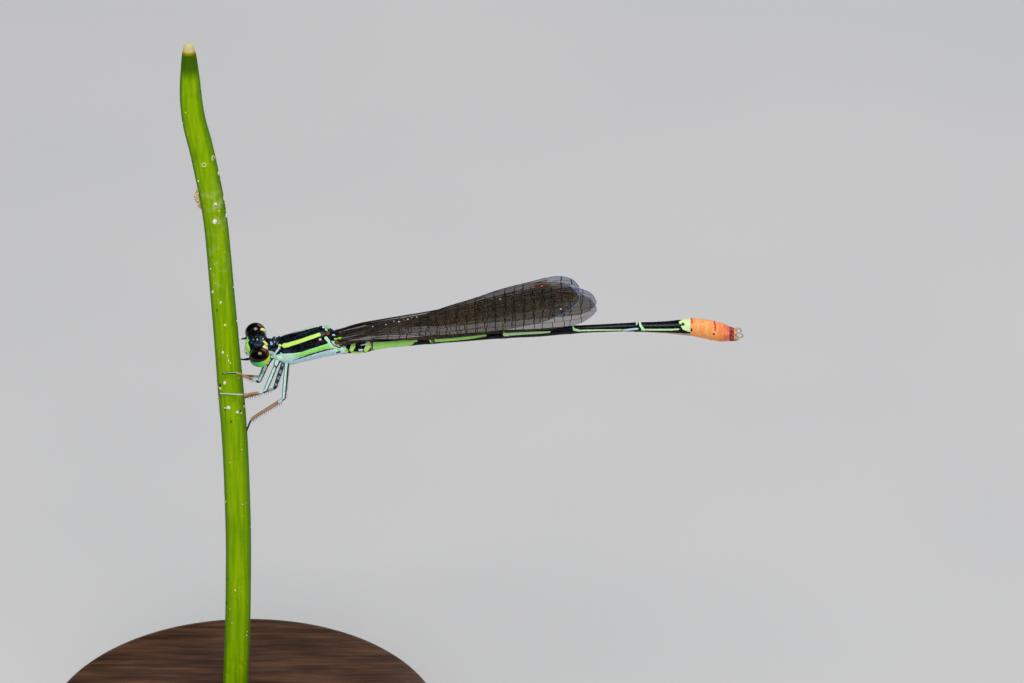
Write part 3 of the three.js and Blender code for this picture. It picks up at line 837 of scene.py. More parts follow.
HEAD = np.array([0.99, 0.0, 21.17])
ROLL, YAW = math.radians(7), math.radians(7.5)
TURN = np.array(
    [[1, 0, 0], [0, math.cos(ROLL), -math.sin(ROLL)], [0, math.sin(ROLL), math.cos(ROLL)]]
) @ np.array([[math.cos(YAW), -math.sin(YAW), 0], [math.sin(YAW), math.cos(YAW), 0], [0, 0, 1]])
# Lumps that the head is blended from, as centre and half sizes. A lump off the middle is on both sides.
EGGS = [
    ([0.02, 0, 0], [0.37, 1, 0.35]), ([-0.24, 0, -0.02], [0.31, 0.5, 0.3]),
    ([-0.33, 0, -0.24], [0.27, 0.38, 0.22]), ([-0.1, 0, -0.42], [0.28, 0.28, 0.18]),
]
for x, y, z, half in (
    (0.2, 0.46, 0.09, [0.2, 0.3, 0.27]), (0.31, 0.24, 0.1, [0.15, 0.2, 0.15]),
    (-0.27, 0.44, 0, [0.17, 0.19, 0.19]),
):
    EGGS += [([x, y, z], half), ([x, -y, z], half)]
BLEND = 0.025  # softness of the blend
HALVINGS = 26  # of the stretch in which the head's surface is searched
SIDEWAYS = (0, 2, 1)  # the order of axes that turns a ball's poles to the left and right


def turned(points):
    return HEAD + points @ TURN.T


def inside_head(p):
    total = 0
    for centre, half in EGGS:
        q = (p - np.array(centre)) / np.array(half)
        k = np.linalg.norm(q, axis=-1)
        slope = np.linalg.norm(q / np.array(half), axis=-1)
        total = total + np.exp(-(k * (k - 1) / np.maximum(slope, 1e-6)) / BLEND)
    return total > 1


def head():
    way = unit_ball(170, 220, 0.01, SIDEWAYS)
    near, far = np.full(way.shape[:2], 0.02), np.full(way.shape[:2], 1.5)
    for _ in range(HALVINGS):
        middle = (near + far) / 2
        hit = inside_head(way * middle[..., None])
        near, far = np.where(hit, middle, near), np.where(hit, far, middle)
    p = way * near[..., None]
    x, y, z = p[..., 0], np.abs(p[..., 1]), p[..., 2]
    front = smooth(-0.2, -0.34, x)
    cut = 0.03 * swell(z + 0.11 - 0.1 * y, 0.022) * front
    cut += 0.035 * swell(z + 0.27, 0.02) * front
    cut += 0.06 * swell(z + 0.4 + 0.3 * (x + 0.5), 0.022) * front
    cut += 0.03 * swell(y, 0.03) * smooth(0.1, 0.25, x)
    cut += 0.02 * swell(((x + 0.02) ** 2 + (y - 0.33) ** 2) ** 0.5 - 0.12, 0.03) * (z > 0)
    p = p - way * cut[..., None]
    placed = turned(p)
    shown = Shown(placed, seen)
    toward = (way @ TURN.T) @ np.array([0, -RISE, LEAN]) > 0.1

    def patch(*paths):
        return np.where(toward, shown.bands(*paths), -1.0)

    rear = patch(
        [(260.6, 328.8, 1.7), (263.6, 331.2, 1.5)],
        [(263.6, 341.6, 0.8), (266, 341.6, 1.7), (266.6, 343.4, 2)], [(264.2, 346.6, 1.4), (267.6, 348, 1.6)],
    )
    strip = patch([(248, 336.2, 1.0), (247.8, 340.4, 1.2)])
    # A pale rim behind the far eye, and small bluish pale spots on the black crown that are painted
    # highlights.
    rim_and_painted_glints = patch(
        [(265.6, 333, 0.5), (265.2, 336, 0.6), (263, 339, 0.5)], [(251.6, 329.4, 0.5), (252.2, 329.2, 0.5)],
        [(253.4, 339.6, 0.5), (253.8, 339.4, 0.5)], [(257.2, 339.2, 0.5), (257.6, 339.4, 0.5)],
        [(255, 332.2, 0.35), (256, 332, 0.35)], [(251, 332.6, 0.45), (251.4, 333.2, 0.45)],
        [(258.6, 334.4, 0.4), (259.6, 334.8, 0.4)],
    )
    # Painted sheen: bluish slate lobes on the black crown.
    painted_slate_sheen = patch(
        [(255.5, 344.8, 1.8), (260, 344, 2)], [(258, 342, 1.2), (261.5, 340.6, 1.2)],
        [(251.6, 342, 1.2), (252.6, 345, 1)], [(259, 334.6, 1), (260.6, 336.4, 0.8)],
        [(253, 336.6, 0.8), (256.6, 336, 0.8)],
    )
    notches = patch([(246.5, 352.6, 0.5), (246.7, 357, 0.7)], [(244.6, 342.0, 0.35), (249.6, 341.6, 0.35)])
    gap = spot(p, [-0.58, 0.13, -0.3], [-0.5, 0.14, -0.42], 0.03)
    seam = 0.06 * swell(z + 0.27, 0.02) + 0.05 * swell(z + 0.42, 0.03)
    face = np.minimum(np.minimum(-0.26 - x, 0.14 - z), 0.52 - y)
    face = without(face - seam, gap, notches)
    crown = spot(p, [-0.42, 0.0, 0.16], [-0.42, 0.34, 0.1], 0.07)
    cheek = spot(p, [-0.22, 0.5, -0.2], [-0.1, 0.48, -0.34], 0.12)
    tone = toned(
        GREEN + 0.07,
        (-z, -0.05, LIME - 0.02),
        (-z, 0.03, CREAM + 0.06),
        (-z, 0.27, MINT + 0.03),
        (rear, -0.03, CREAM - 0.03),
        (strip, -0.03, GREEN),
        (rim_and_painted_glints, -0.02, BLUE_WHITE),
        (cheek, -0.03, MINT),
    )
    mark = both(face, crown, cheek, rear, rim_and_painted_glints, strip)
    skin.grid(placed, mark=mark, tone=tone, blue=0.8 * smooth(-0.05, 0.04, painted_slate_sheen))

    def lump(centre, half, **values):
        ball(skin, turned(np.array(centre)), half, 0, 8, 12, **values)

    for x, y in ((-0.2, 0.0), (-0.06, 0.14), (-0.06, -0.14)):
        lump([x, y, 0.335], [0.045, 0.045, 0.04], mark=-0.006, tone=BLUE_WHITE)
    for y in (-0.3, 0.3):
        lump([-0.26, y, 0.24], [0.09, 0.1, 0.07], mark=NO_MARK)
        lump([0.0, y * 0.9, 0.31], [0.11, 0.09, 0.06], mark=NO_MARK)


head()
for feeler in (
    [[0.78, -0.62, 20.88], [0.6, -0.7, 20.86], [0.42, -0.78, 20.88], [0.27, -0.84, 20.93]],
    [[0.62, 0.5, 21.2], [0.46, 0.66, 21.12], [0.34, 0.8, 21.02], [0.26, 0.92, 20.94]],
):
    line = curve(feeler, 40)
    girth = taper(line, [0, 0.25, 0.3, 0.5, 0.6, 1], [0.075, 0.07, 0.055, 0.06, 0.045, 0.03])
    skin.rod(line, girth, 14, mark=NO_MARK)


# Eyes

EYE_HALF = np.array([0.465, 0.425, 0.45])
EYE_OUT = 0.9  # from the middle of the head to the middle of an eye
for side, name in ((-1, "left"), (1, "right")):
    eye = Build()
    p = unit_ball(90, 130, 0.02, SIDEWAYS) * EYE_HALF
    x, z = p[..., 0], p[..., 2]
    low = 0.05 + 0.22 * x + 0.25 * np.maximum(x - 0.25, 0) - z
    back = np.clip((x + 0.4) / 0.8, 0, 1)
    brown = np.clip(-0.08 + 1.4 * x + 0.9 * (z - 0.15), 0, 1)
    eye.grid(turned(p + np.array([0, side * EYE_OUT, 0])), low=low, back=back, brown=brown)
    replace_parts(eye.make(f"eye_{name}_facets", [EYE]), f"eye_{name}")


def on_far_eye(px, py):
    """Where the photo's line of sight at a place first meets the far eye."""
    for y in np.linspace(-1.5, 1.5, 600):
        p = np.array(at(px, py, y))
        q = ((p - HEAD) @ TURN - np.array([0, EYE_OUT, 0])) / EYE_HALF
        if q @ q <= 1:
            return p
    return np.array(at(px, py, EYE_OUT))


# A cream lobe above the far eye and a pale ring behind it
LOBE = [(260.4, 329.2), (262.2, 330.0), (264.4, 330.6)]
RING = [(264.6, 330.4), (265.7, 333.0), (265.3, 336.2), (263.4, 339.2)]
lobe = curve([on_far_eye(*place) for place in LOBE], 24)
girth = taper(lobe, [0, 0.25, 0.8, 1], [0.03, 0.095, 0.085, 0.03])
skin.rod(lobe, girth, 18, mark=ALL_MARK, tone=CREAM - 0.02)
ring = curve([on_far_eye(*place) for place in RING], 30)
skin.rod(ring, 0.036, 12, mark=ALL_MARK, tone=BLUE_WHITE, blue=0.35)


# Legs

# Each leg's root with any bends that the body hides, in millimetres, and the places of the other bends and
# of the claw as [column, row, distance from the middle plane].
LEGS = {
    "fore_left": (
        [[1.72, -0.2, 20.85]],
        [
            (268.5, 360, -0.36), (266, 366, -0.46), (258.6, 382.2, -0.7), (237.5, 372.8, -0.68),
            (223.5, 373.6, -0.6),
        ],
    ),
    "fore_right": (
        [[1.72, 0.2, 20.85], [1.5, 0.34, 20.45], [1.4, 0.42, 20.2]],
        [(260.5, 376.8, 0.62), (238, 375, 0.68), (224, 371, 0.6)],
    ),
    "mid_left": (
        [[2.1, -0.2, 20.75]],
        [
            (277.5, 361, -0.36), (275.6, 366, -0.46), (264.8, 391.8, -0.8), (243, 394.8, -0.7),
            (220, 393.4, -0.48),
        ],
    ),
    "mid_right": (
        [[2.1, 0.2, 20.75], [2.1, 0.34, 20.35], [2.1, 0.4, 20.1]],
        [(274.6, 388.6, 0.6), (246, 397.2, 0.68), (225, 398, 0.6)],
    ),
    "hind_left": (
        [[2.5, -0.2, 20.7]],
        [
            (287.5, 361, -0.34), (286.4, 366, -0.44), (283.6, 399.4, -0.75), (250.8, 419.6, -0.46),
            (246.8, 430.6, -0.34),
        ],
    ),
    "hind_right": (
        [[2.4, 0.2, 20.7], [2.3, 0.32, 20.3], [2.27, 0.4, 20.1]],
        [(284, 398, 0.66), (252, 418, 0.5), (247, 428.6, 0.36)],
    ),
}


def legs():
    for name, (hidden, shown) in LEGS.items():
        joints = np.array(hidden + [at(*place) for place in shown], float)
        hip, start, knee, ankle, claw = lengths(joints)[1:]
        line = bent(joints, 240)
        t = lengths(line)
        girth = [
            (0, 0.16), (hip, 0.13), (start, 0.105), (start + 0.06, 0.09), ((start + knee) / 2, 0.094),
            (knee - 0.03, 0.08), (knee + 0.05, 0.054), (ankle - 0.04, 0.047), (ankle, 0.05),
            (ankle + 0.05, 0.036), (claw, 0.026),
        ]
        radius = np.interp(t, *zip(*girth)) - 0.012 * swell(t - start, 0.02) - 0.012 * swell(t - knee, 0.02)
        points, out = tube(line, radius, 20)
        skin.grid(points, **leg_marks(name, t[:, None], radius[:, None], out, start, knee, ankle))
        spines(line, t, radius, start + 0.12, knee - 0.05, 0.13, 0.12)
        spines(line, t, radius, knee + 0.12, ankle, 0.11, 0.17)
        spines(line, t, radius, ankle + 0.05, claw, 0.09, 0.05)
        end, tail = line[-1], unit(line[-1] - line[-6])
        for turn in (-1, 1):
            bow, point = [0, turn * 0.03, 0.0], [0, turn * 0.045, -0.04]
            hook = curve([end - tail * 0.02, end + tail * 0.05 + bow, end + tail * 0.08 + point], 8)
            skin.rod(hook, np.linspace(0.016, 0.003, 8), 6, mark=NO_MARK)


def leg_marks(name, t, radius, out, start, knee, ankle):
    """Marks of a leg, by the length t along it and the outward directions."""
    thigh, foot = t < knee, t > ankle
    nx, nz = out[..., 0], out[..., 2]
    mark = np.where(thigh, 0.55 - np.abs(nx + 0.12), nz + 0.35) * radius
    wave = np.sin(17 * t + 1.1 * nz) + 0.8 * np.sin(39 * t - 2.6 * nx + 1) + 0.4 * np.sin(83 * t)
    if name == "mid_right":
        mark = np.where(thigh, np.minimum(mark, 0.035 * wave - 0.004), mark)
    elif name.startswith(("fore", "mid")):
        beyond_root = np.clip((t - start - 0.3) / 0.25, 0, 1)
        mark = np.where(thigh, np.minimum(mark, 0.04 * wave + 0.03 + 0.1 * beyond_root), mark)
    mark = np.where(foot, 0.04 * np.maximum(nz, 0) - 0.03, mark)
    knee_dark = 0.07 - np.abs(t - knee) - 0.25 * np.maximum(-nx, 0)
    mark = np.minimum(mark, np.where(t > start, -knee_dark, 0.02))
    if name == "mid_left":
        mark = np.where(foot & (nz > -0.3), 0.02, mark)
    tone = np.where(thigh, BLUE_WHITE - 0.03, STRAW - 0.006)
    tone = np.where(foot, BLUE_WHITE + 0.04, tone)
    tone = np.where((t > knee) & (t < knee + 0.25), STRAW - 0.09, tone)
    return {"mark": mark, "tone": tone, "blue": 0.45 * thigh * (name == "mid_right")}


def spines(line, t, radius, low, high, spacing, length):
    """Two rows of fine bristles along a stretch of a leg."""
    ahead = heading(line)
    for turn in (-1, 1):
        for where in np.arange(low, high, spacing):
            i = int(np.clip(np.searchsorted(t, where), 1, len(t) - 2))
            under = np.cross(ahead[i], [0, 1, 0])
            under = under * (-1 if under[2] > 0 else 1)
            out = unit(under * 0.8 + np.array([0, turn * 0.6, 0])) * 0.9 + ahead[i] * 0.45
            size = length * random.uniform(0.8, 1.15)
            ends = line[i] + out * radius[i] * 0.6, line[i] + out * (radius[i] + size)
            skin.rod(np.linspace(*ends, 3), [0.009, 0.007, 0.001], 4, 1)


legs()


HAIR_COUNT = 260


def fuzz():
    """Short dark hairs on the thorax."""
    for _ in range(HAIR_COUNT):
        x = random.uniform(2.05, 4.3)
        angle = random.uniform(-2.3, 2.3)
        high, low, half = (float(along(table, x)) for table in (BACK_LINE, BREAST_LINE, HALF_WIDTH))
        out = np.array([random.uniform(-0.3, 0.3), math.sin(angle), math.cos(angle)])
        shoulder = 1 - SHOULDER * max(math.cos(angle), 0) ** 2
        z = (high + low) / 2 + (high - low) / 2 * math.cos(angle)
        root = np.array([x, half * math.sin(angle) * shoulder, z])
        size = random.uniform(0.05, 0.11)
        skin.rod(np.linspace(root - out * 0.02, root + out * size, 3), [0.004, 0.003, 0.0008], 3, 1)


fuzz()

body_nodes = ["head", "antenna_left", "antenna_right", "prothorax", "thorax", "abdomen_segments_1_2"]
body_nodes += [f"abdomen_segment_{k}" for k in range(3, 11)]
body_nodes += [f"leg_{pair}_{side}" for pair in ("fore", "mid", "hind") for side in ("left", "right")]
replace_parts(skin.make("skin", [CUTICLE, BRISTLE]), *body_nodes)
claspers.make("claspers", [clasper_look()])


# Wing bases: knobs and small plates where the wings leave the thorax

hinges = Build()
for px, py, y, half, kind, far in (
    (328, 327.4, 0.07, (0.1, 0.07, 0.09), 1, 1), (323.6, 327.4, 0.06, (0.07, 0.05, 0.05), 2, 2),
    (327.5, 333.2, 0.27, (0.12, 0.08, 0.13), 0, 1), (333.6, 335.2, 0.22, (0.08, 0.05, 0.05), 2, 2),
    (326.8, 340, 0.42, (0.08, 0.05, 0.13), 2, 2), (329.5, 342, 0.4, (0.06, 0.05, 0.1), 1, 1),
    (336.6, 342.7, 0.37, (0.13, 0.08, 0.1), 0, 0), (335.4, 339.2, 0.3, (0.1, 0.05, 0.06), 3, 3),
    (339.6, 338.2, 0.27, (0.1, 0.05, 0.05), 3, 3), (341, 344.5, 0.3, (0.06, 0.05, 0.05), 2, 2),
    (342.6, 347.6, 0.28, (0.09, 0.06, 0.09), 3, 3), (345.2, 350, 0.26, (0.08, 0.06, 0.08), 3, 3),
    (337.6, 348.6, 0.36, (0.12, 0.06, 0.07), 1, 1), (340.4, 351.4, 0.3, (0.06, 0.04, 0.05), 4, 4),
    (333, 350.4, 0.38, (0.1, 0.04, 0.035), 4, 4), (332.4, 345.6, 0.4, (0.12, 0.04, 0.035), 4, 4),
    (345.6, 345.2, 0.26, (0.05, 0.04, 0.08), 4, 4), (331.4, 337.4, 0.3, (0.05, 0.04, 0.1), 4, 4),
    (320.3, 339.4, 0.59, (0.05, 0.03, 0.05), 5, 5), (339, 335.2, 0.2, (0.1, 0.04, 0.04), 4, 4),
):
    for side in (-1, 1):
        x, _, z = at(px, py, -y)
        size = np.array(half) * (1 if side < 0 else 0.7)
        ball(hinges, [x, side * y, z], size, kind if side < 0 else far, 10, 14)
plates = (
    ("knob_brown", (70, 30, 16), (126, 66, 44)), ("plate_mint", (110, 200, 130), (176, 236, 190)),
    ("plate_blue", (140, 184, 200), (206, 226, 232)), ("plate_green", (110, 206, 40), (196, 230, 60)),
    ("plate_black", (3, 3, 5), (18, 20, 28)), ("plate_pink", (236, 196, 180), (250, 236, 226)),
)
hinges.make("wing_bases", [fleck_look(*plate) for plate in plates])


# Wings

# Outlines are [share of the length, distance from the wing's axis], and the places out are distances from the
# middle plane at the leading and the trailing edge. A glint is a painted highlight, a pale bead at a [column,
# row] of the photo.
FORE = {
    "root": (4.09, 21.99), "pitch": 5.54, "length": 11.79, "root_out": 0.25,
    "lead_out": [[0.35, 0.1], [0.8, 0.1], [0.92, 0.17], [1, 0.3]],
    "trail_out": [[0.35, 0.45], [0.8, 0.5], [1, 0.3]],
    "lead": [
        [0, -0.3], [0.032, -0.25], [0.118, 0], [0.193, 0.126], [0.287, 0.263], [0.37, 0.36], [0.47, 0.5],
        [0.533, 0.61], [0.647, 0.883], [0.75, 1.05], [0.82, 1.12], [0.9, 1], [0.96, 0.72], [0.99, 0.38],
        [1, 0.05],
    ],
    "trail": [
        [0, 0.56], [0.1, 0.36], [0.18, 0.3], [0.3, 0.42], [0.412, 0.6], [0.635, 0.65], [0.785, 0.665],
        [0.923, 0.595], [0.975, 0.33], [0.993, 0.15], [1, 0.05],
    ],
    "stigma": (0.855, 0.93), "columns": 0.62, "cross_vein": 0.017, "seed": 5,
    "painted_glints": [
        (367, 324), (380, 323.5), (394, 321), (408, 319.5), (412, 317.4), (416.5, 317), (426, 314.5),
        (386, 324.4), (399, 321.6), (404, 318.6), (372.4, 326.6), (519, 305), (551.5, 302.5), (569, 307),
        (347, 331.4),
    ],
}
HIND = {
    "root": (4.48, 21.44), "pitch": 12.7, "length": 10.86, "root_out": 0.34,
    "lead_out": [[0.35, 0.06], [0.8, 0.06], [0.9, 0.2], [1, 0.38]],
    "trail_out": [[0.35, 0.6], [0.8, 0.62], [1, 0.38]],
    "lead": [
        [0, 0.12], [0.2, 0.22], [0.377, 0.36], [0.466, 0.52], [0.548, 0.62], [0.606, 0.7], [0.673, 0.82],
        [0.737, 0.885], [0.85, 0.93], [0.9225, 0.86], [0.965, 0.64], [0.99, 0.33], [1, 0.05],
    ],
    "trail": [
        [0, 0.12], [0.17, 0.15], [0.3, 0.42], [0.45, 0.66], [0.6, 0.76], [0.8, 0.78], [0.93, 0.58],
        [0.985, 0.28], [1, 0.05],
    ],
    "stigma": (0.822, 0.9), "columns": 0.4, "cross_vein": 0.024, "seed": 8,
    "painted_glints": [(542.5, 286), (500, 299), (561, 309)],
}
NODUS = 0.36
# Long veins as first share of the length, last share, and place on the chord at each of the two.
LONG_VEINS = [
    (0.0, 1.0, 0.0, 0.0), (0.0, NODUS, 0.14, 0.015), (0.0, 0.985, 0.28, 0.15), (0.08, 0.99, 0.36, 0.32),
    (0.14, 0.99, 0.5, 0.5), (0.16, 0.985, 0.6, 0.7), (0.14, 0.965, 0.78, 0.86), (0, 1, 1, 1),
]
EDGES = (0, len(LONG_VEINS) - 1)
# Past these shares the paler veins carry a painted sheen, and the bluish edge veins a painted reflection.
PAINTED_SHEEN_FROM, TIP = 0.62, 0.88  # shares of the length from which the veins are paler, and blue at the edges
FIRST_COLUMN, COLUMN_GAP = 6.6, 0.415  # of the cross veins
# Material 4 is a painted sheen on the long veins; materials 2 and 6 are painted reflections on the edge
# veins.
WING_LOOKS = [
    membrane_look(),
    vein_look("vein", (16, 11, 7), (36, 26, 18)),
    vein_look("edge_vein_painted_reflection", (40, 38, 42), (78, 86, 110)),
    stigma_look(),
    vein_look("long_vein_painted_sheen", (52, 41, 30), (88, 76, 62)),
    fleck_look("painted_glint", (170, 190, 225), (250, 236, 215), 0.15),
    vein_look("tip_vein_painted_reflection", (78, 98, 150), (120, 148, 210)),
]


def wing_point(wing, side, u, v, proud=0.0):
    u, v = np.asarray(u, float), np.asarray(v, float)
    lead = along(wing["lead"], u)
    chord = lead + along(wing["trail"], u)
    out_of_axis = lead - chord * v
    spread = smooth(0, 0.35, u)
    lead_out, trail_out = along(wing["lead_out"], u), along(wing["trail_out"], u)
    out = wing["root_out"] * (1 - spread) + spread * (lead_out + (trail_out - lead_out) * v)
    pitch = math.radians(wing["pitch"])
    length = wing["length"] * u
    x = wing["root"][0] + length * math.cos(pitch) - out_of_axis * math.sin(pitch)
    z = wing["root"][1] + length * math.sin(pitch) + out_of_axis * math.cos(pitch)
    return np.stack([x, side * (out + proud), z], -1)


def share_at(wing, x, v):
    """Share of the length at which a place on the chord stands at x."""
    pitch = math.radians(wing["pitch"])
    u = (x - wing["root"][0]) / wing["length"]
    for _ in range(4):
        lead = along(wing["lead"], u)
        out_of_axis = lead - (lead + along(wing["trail"], u)) * v
        u = (x - wing["root"][0] + out_of_axis * math.sin(pitch)) / (wing["length"] * math.cos(pitch))
    return float(np.clip(u, 0, 1))


def vein_place(vein, u):
    """Place on the chord of a long vein at a share u of the length."""
    start, end, first, last = vein
    s = np.clip((np.asarray(u) - start) / (end - start), 0, 1)
    v = first + (last - first) * s
    gather = 0.6 + 0.4 * smooth(0.0, 0.2, np.asarray(u))
    return 0.5 + (v - 0.5) * gather if 0 < first < 1 else v


def membrane(build, shape, side):
    us = np.concatenate([np.linspace(0, 0.9, 150), np.linspace(0.905, 1, 40)])
    uu, vv = np.meshgrid(us, np.linspace(0, 1, 46), indexing="ij")
    fold = 0.01 * np.sin(vv * 2 * np.pi * 6.5) * smooth(0.1, 0.3, uu)
    build.grid(wing_point(shape, side, uu, vv, fold), 0, around=False, stalk=smooth(0.42, 0.15, uu))


def long_veins(build, shape, side):
    for k, vein in enumerate(LONG_VEINS):
        start, end = vein[:2]
        edge = k in EDGES
        parts = (start, PAINTED_SHEEN_FROM, 1), (PAINTED_SHEEN_FROM, TIP, 2 if k == 0 else 4), (TIP, end, 6 if edge else 4)
        for first, last, slot in parts:
            if last <= first:
                continue
            u = np.linspace(first, min(last, end), 60)
            line = wing_point(shape, side, u, vein_place(vein, u))
            if k == 0:
                size = np.interp(u, [0, 0.3, 0.8, 1], [0.034, 0.027, 0.021, 0.016])
            else:
                size = (0.011 if edge else 0.0085) * (1 + 1.2 * smooth(0.32, 0.12, u))
            build.rod(line, size, 7, slot)


def cross_veins(build, shape, side, chance):
    lines = [vein for k, vein in enumerate(LONG_VEINS) if k != 1]
    tip = shape["root"][0] + shape["length"]
    for column in np.arange(FIRST_COLUMN + shape["columns"] * 0.45, tip, COLUMN_GAP):
        sway = 0.0
        for upper, lower in zip(lines[:-1], lines[1:]):
            sway = 0.55 * sway + chance.uniform(-0.075, 0.075)
            ends = []
            for vein, lean in ((upper, 0.0), (lower, chance.uniform(-0.03, 0.03))):
                u = share_at(shape, column + sway, 0.5)
                for _ in range(3):
                    u = share_at(shape, column + sway + lean, float(vein_place(vein, u)))
                ends.append((u, float(vein_place(vein, u))))
            (u0, v0), (u1, v1) = ends
            if not (0.16 < min(u0, u1) and max(u0, u1) < min(upper[1], lower[1]) - 0.004):
                continue
            if upper is lines[0] and (u0 < NODUS or shape["stigma"][0] < u0 < shape["stigma"][1]):
                continue
            line = wing_point(shape, side, np.linspace(u0, u1, 4), np.linspace(v0, v1, 4))
            if np.linalg.norm(line[-1] - line[0]) > 0.03:
                build.rod(line, shape["cross_vein"], 5, 1)


def wing_spot(build, shape, side):
    low, high = shape["stigma"]
    uu, vv = np.meshgrid(np.linspace(low, high, 18), np.linspace(0.05, 0.135, 8), indexing="ij")
    uu = uu + 0.05 * (vv - 0.05)
    sheet = wing_point(shape, side, uu, vv)
    thick = np.sin(np.linspace(0.1, np.pi - 0.1, 18))[:, None] * np.sin(np.linspace(0.1, np.pi - 0.1, 8))
    front, rear = sheet.copy(), sheet.copy()
    front[..., 1] += 0.014 * thick + 0.008
    rear[..., 1] -= 0.014 * thick + 0.008
    fade = np.minimum(smooth(low - 0.003, low + 0.02, uu), smooth(high + 0.004, high - 0.028, uu))
    fade = fade * np.sin(np.linspace(0.35, np.pi - 0.35, 8)) * (1 if side < 0 else 0.55)
    shell = np.concatenate([front, rear[:, ::-1]], axis=1)
    build.grid(shell, 3, fade=np.concatenate([fade, fade[:, ::-1]], axis=1))


# Pale beads on the veins that are painted highlights.
def painted_glints(build, shape, side, chance):
    us, vs = np.meshgrid(np.linspace(0.05, 0.97, 300), np.linspace(0.02, 0.98, 60), indexing="ij")
    columns, rows = seen(wing_point(shape, -1, us, vs))
    for px, py in shape["painted_glints"]:
        nearest = np.argmin(np.hypot(columns - px, rows - py))
        u, v = us.ravel()[nearest], vs.ravel()[nearest]
        size = chance.uniform(0.016, 0.036)
        ball(build, wing_point(shape, side, u, v), [size * 1.3, size * 0.8, size], 5, 6, 8)


for pair, shape in (("fore", FORE), ("hind", HIND)):
    for side, name in ((-1, "left"), (1, "right")):
        build = Build()
        chance = np.random.default_rng(shape["seed"])
        membrane(build, shape, side)
        long_veins(build, shape, side)
        cross_veins(build, shape, side, chance)
        wing_spot(build, shape, side)
        painted_glints(build, shape, side, chance)
        piece = build.make(f"wing_{pair}_{name}_veined", WING_LOOKS)
        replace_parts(piece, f"wing_{pair}_{name}")


# Stem

STEM_LINE = [
    [3.2, -0.35], [7.98, -0.12], [12.2, -0.05], [16.8, -0.13], [21.2, -0.36], [25, -0.58], [28, -0.8],
    [30.9, -1.26], [32.4, -1.56], [33.8, -1.67], [36, -1.7],
]
STEM_RADIUS = [
    [3.2, 0.57], [12, 0.57], [18.6, 0.575], [21, 0.55], [25, 0.53], [30.9, 0.52], [33.8, 0.465], [34.8, 0.39],
    [35.7, 0.28], [36, 0.17], [36.05, 0.06],
]
RIBS = 13
STEM_FOOT = 3.2
SPECK_COUNT = 70  # small ones, scattered over the rind
# Specks and droplets on the rind as (column, row, size in pixels, material)
SPECKS = [
    (215.5, 204, 1.3, 1), (217, 203.4, 0.8, 3), (215.5, 221, 2.2, 1), (213, 292, 1.2, 2), (221, 303, 1.3, 1),
    (225, 325, 1.2, 2), (223, 352.4, 1.2, 1), (239.5, 338, 1.3, 1), (217, 380, 1.3, 1), (220.5, 388, 1.5, 2),
    (224.5, 383, 1.8, 1), (218.3, 398, 1.9, 1), (228.5, 407.4, 1.5, 1), (225.4, 408, 0.9, 2),
    (237.5, 412.5, 1.5, 1), (241, 413, 1, 2), (244, 406, 1.2, 2), (246, 410, 1, 1), (242.4, 369, 1.1, 1),
    (241.5, 366, 0.9, 2), (216, 365.4, 0.9, 2), (220.5, 385.5, 1.3, 3), (244, 403.6, 1.2, 3),
    (240, 411, 1.1, 3), (231, 421.6, 1, 3), (225, 409.6, 0.8, 3),
]
# Droplets are drawn as pale rings, painted highlights for the bright rims of clear water drops.
DROPLET_RIM_HIGHLIGHTS = [
    (213, 158, 2, 2), (204, 165, 1.9, 2), (218.5, 172.5, 1.5, 2), (224, 198, 2, 1), (226.4, 215, 1.9, 1),
]
# The husk flake at the edge of the stem, as [column, row, distance from the middle plane]
FLAKE = [
    (199.6, 186.6, -0.1), (197.6, 191.4, -0.12), (196.8, 196, -0.14), (198.4, 201.4, -0.12),
    (200.6, 208.6, -0.1),
]


def rind(build):
    z = np.concatenate([np.linspace(STEM_FOOT, 34.0, 420), np.linspace(34.02, 36.05, 90)])
    x = along(STEM_LINE, z)
    lean = np.gradient(x, z)
    radius = along(STEM_RADIUS, z)
    angle = circle(156)
    rib = 0.014 * np.cos(RIBS * angle) * smooth(36, 34.5, z)[:, None]
    wander = 0.008 * np.sin(z * 0.9)[:, None] * np.cos(angle + z[:, None] * 0.35) * smooth(36, 33, z)[:, None]
    r = radius[:, None] - 0.014 + rib + wander
    across = r * np.cos(angle)
    points = np.stack([x[:, None] + across, r * np.sin(angle), z[:, None] - lean[:, None] * across], -1)
    points[0, :, 2] = STEM_FOOT
    cap = np.interp(z, [34.25, 35.1, 35.6, 35.72, 35.85], [0, 0.4, 0.52, 0.64, 1])[:, None]
    front = smooth(0.1, 0.9, -np.sin(angle))
    scuff = swell(z - 28.1, 0.9)[:, None] * front + 0.6 * swell(z - 25.4, 0.9)[:, None] * front
    # The sides get painted shade through cos(angle) squared.
    build.grid(points, cap=cap, flank=np.cos(angle) ** 2, scuff=scuff)


def on_rind(px, py):
    """The point of the stem that shows at a place of the photo."""
    y = -0.5
    for _ in range(8):
        x, _, z = at(px, py, y)
        r = float(along(STEM_RADIUS, z))
        y = -math.sqrt(max(r * r - (x - float(along(STEM_LINE, z))) ** 2, 0.0004))
    return [x, y, z]


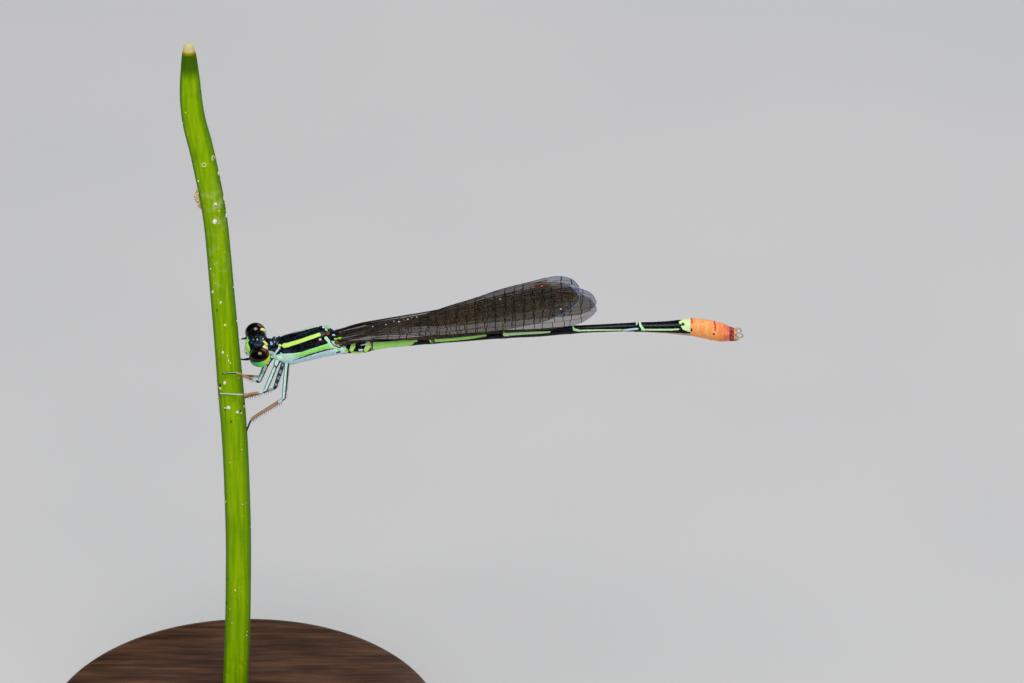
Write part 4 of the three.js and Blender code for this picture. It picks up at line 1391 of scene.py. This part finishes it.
def stem():
    build = Build()
    rind(build)
    for px, py, size, kind in SPECKS:
        for _ in range(3):
            half = np.array([0.85, 0.5, 1.05]) * size * STEP * random.uniform(0.7, 1.15)
            shift = np.array([random.uniform(-0.5, 0.5), 0, random.uniform(-0.6, 0.6)]) * size * STEP
            ball(build, on_rind(px, py) + shift, half, kind, 8, 10)
    # Each droplet is a pale ring: a painted highlight for the bright rim of a clear drop.
    for px, py, size, kind in DROPLET_RIM_HIGHLIGHTS:
        centre = np.array(on_rind(px, py))
        away = centre - [float(along(STEM_LINE, centre[2])), 0, centre[2]]
        sideways = np.array([-away[1], away[0], 0]) / np.linalg.norm(away)
        turn = np.linspace(0, 2 * np.pi, 25)[:, None]
        loop = centre + size * STEP * (sideways * np.cos(turn) + np.array([0, 0, 1.1]) * np.sin(turn))
        build.rod(loop, 0.024, 8, kind)
    flake = curve([at(*place) for place in FLAKE], 40)
    girth = taper(flake, [0, 0.12, 0.22, 0.42, 0.6, 0.72, 0.86, 1], [0.4, 1.9, 1.5, 2.9, 2.5, 1.9, 2.2, 0.4])
    build.rod(flake, girth * STEP, 16, 4)
    for _ in range(SPECK_COUNT):
        z = random.uniform(3.6, 34)
        turn = random.uniform(0, 2 * np.pi)
        r = float(along(STEM_RADIUS, z)) - 0.004
        size = random.uniform(0.018, 0.04)
        centre = [float(along(STEM_LINE, z)) + r * math.cos(turn), r * math.sin(turn), z]
        kind = random.choice([1, 2, 2, 3], p=[0.4, 0.25, 0.25, 0.1])
        ball(build, centre, [size, size, size * 1.4], kind, 6, 8)
    looks = [
        stem_look(),
        fleck_look("speck_white_and_rim_highlight", (232, 232, 224), (255, 252, 246), 0.25),
        fleck_look("speck_yellow_and_rim_highlight", (222, 216, 130), (246, 236, 180), 0.35),
        fleck_look("speck_dark", (40, 30, 16), (70, 54, 24), 0.5),
        fleck_look("husk", (168, 124, 84), (242, 222, 186), 0.7),
    ]
    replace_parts(build.make("stem_rind", looks), "perch_stem")


stem()


# Stand

# Profiles as (radius, height)
DISC = [
    (0.02, 0), (8.6, 0), (8.88, 0.06), (9, 0.2), (9, 1.1), (8.93, 1.32), (8.8, 1.44), (8.6, 1.5), (0.02, 1.5),
]
PIN = [
    (0.62, 1.5), (0.62, 1.58), (0.56, 1.66), (0.45, 1.7), (0.45, 2.9), (0.5, 2.95), (0.5, 3.14), (0.45, 3.2),
]
PIN_AT = -0.35  # place along the insect at which the stem leaves the pin


def rings(profile, columns, x=0.0):
    """A ring around an upright axis for each place of a profile."""
    angle = circle(columns)
    r, z = np.array(profile, float).T[..., None]
    return np.stack([x + r * np.cos(angle), r * np.sin(angle), 0 * angle + z], -1)


def stand():
    profile = []
    for (r0, z0), (r1, z1) in zip(DISC[:-1], DISC[1:]):
        profile += [(r0 + (r1 - r0) * s, z0 + (z1 - z0) * s) for s in np.linspace(0, 1, 6)[:-1]]
    disc = Build()
    disc.grid(rings([*profile, DISC[-1]], 192))
    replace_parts(disc.make("stand_disc", [wood_look()]), "stand_base")
    pin = Build()
    pin.grid(rings(PIN, 64, PIN_AT))
    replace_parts(pin.make("stand_pin", [metal_look()], smooth_faces=False), "stand_rod")


stand()
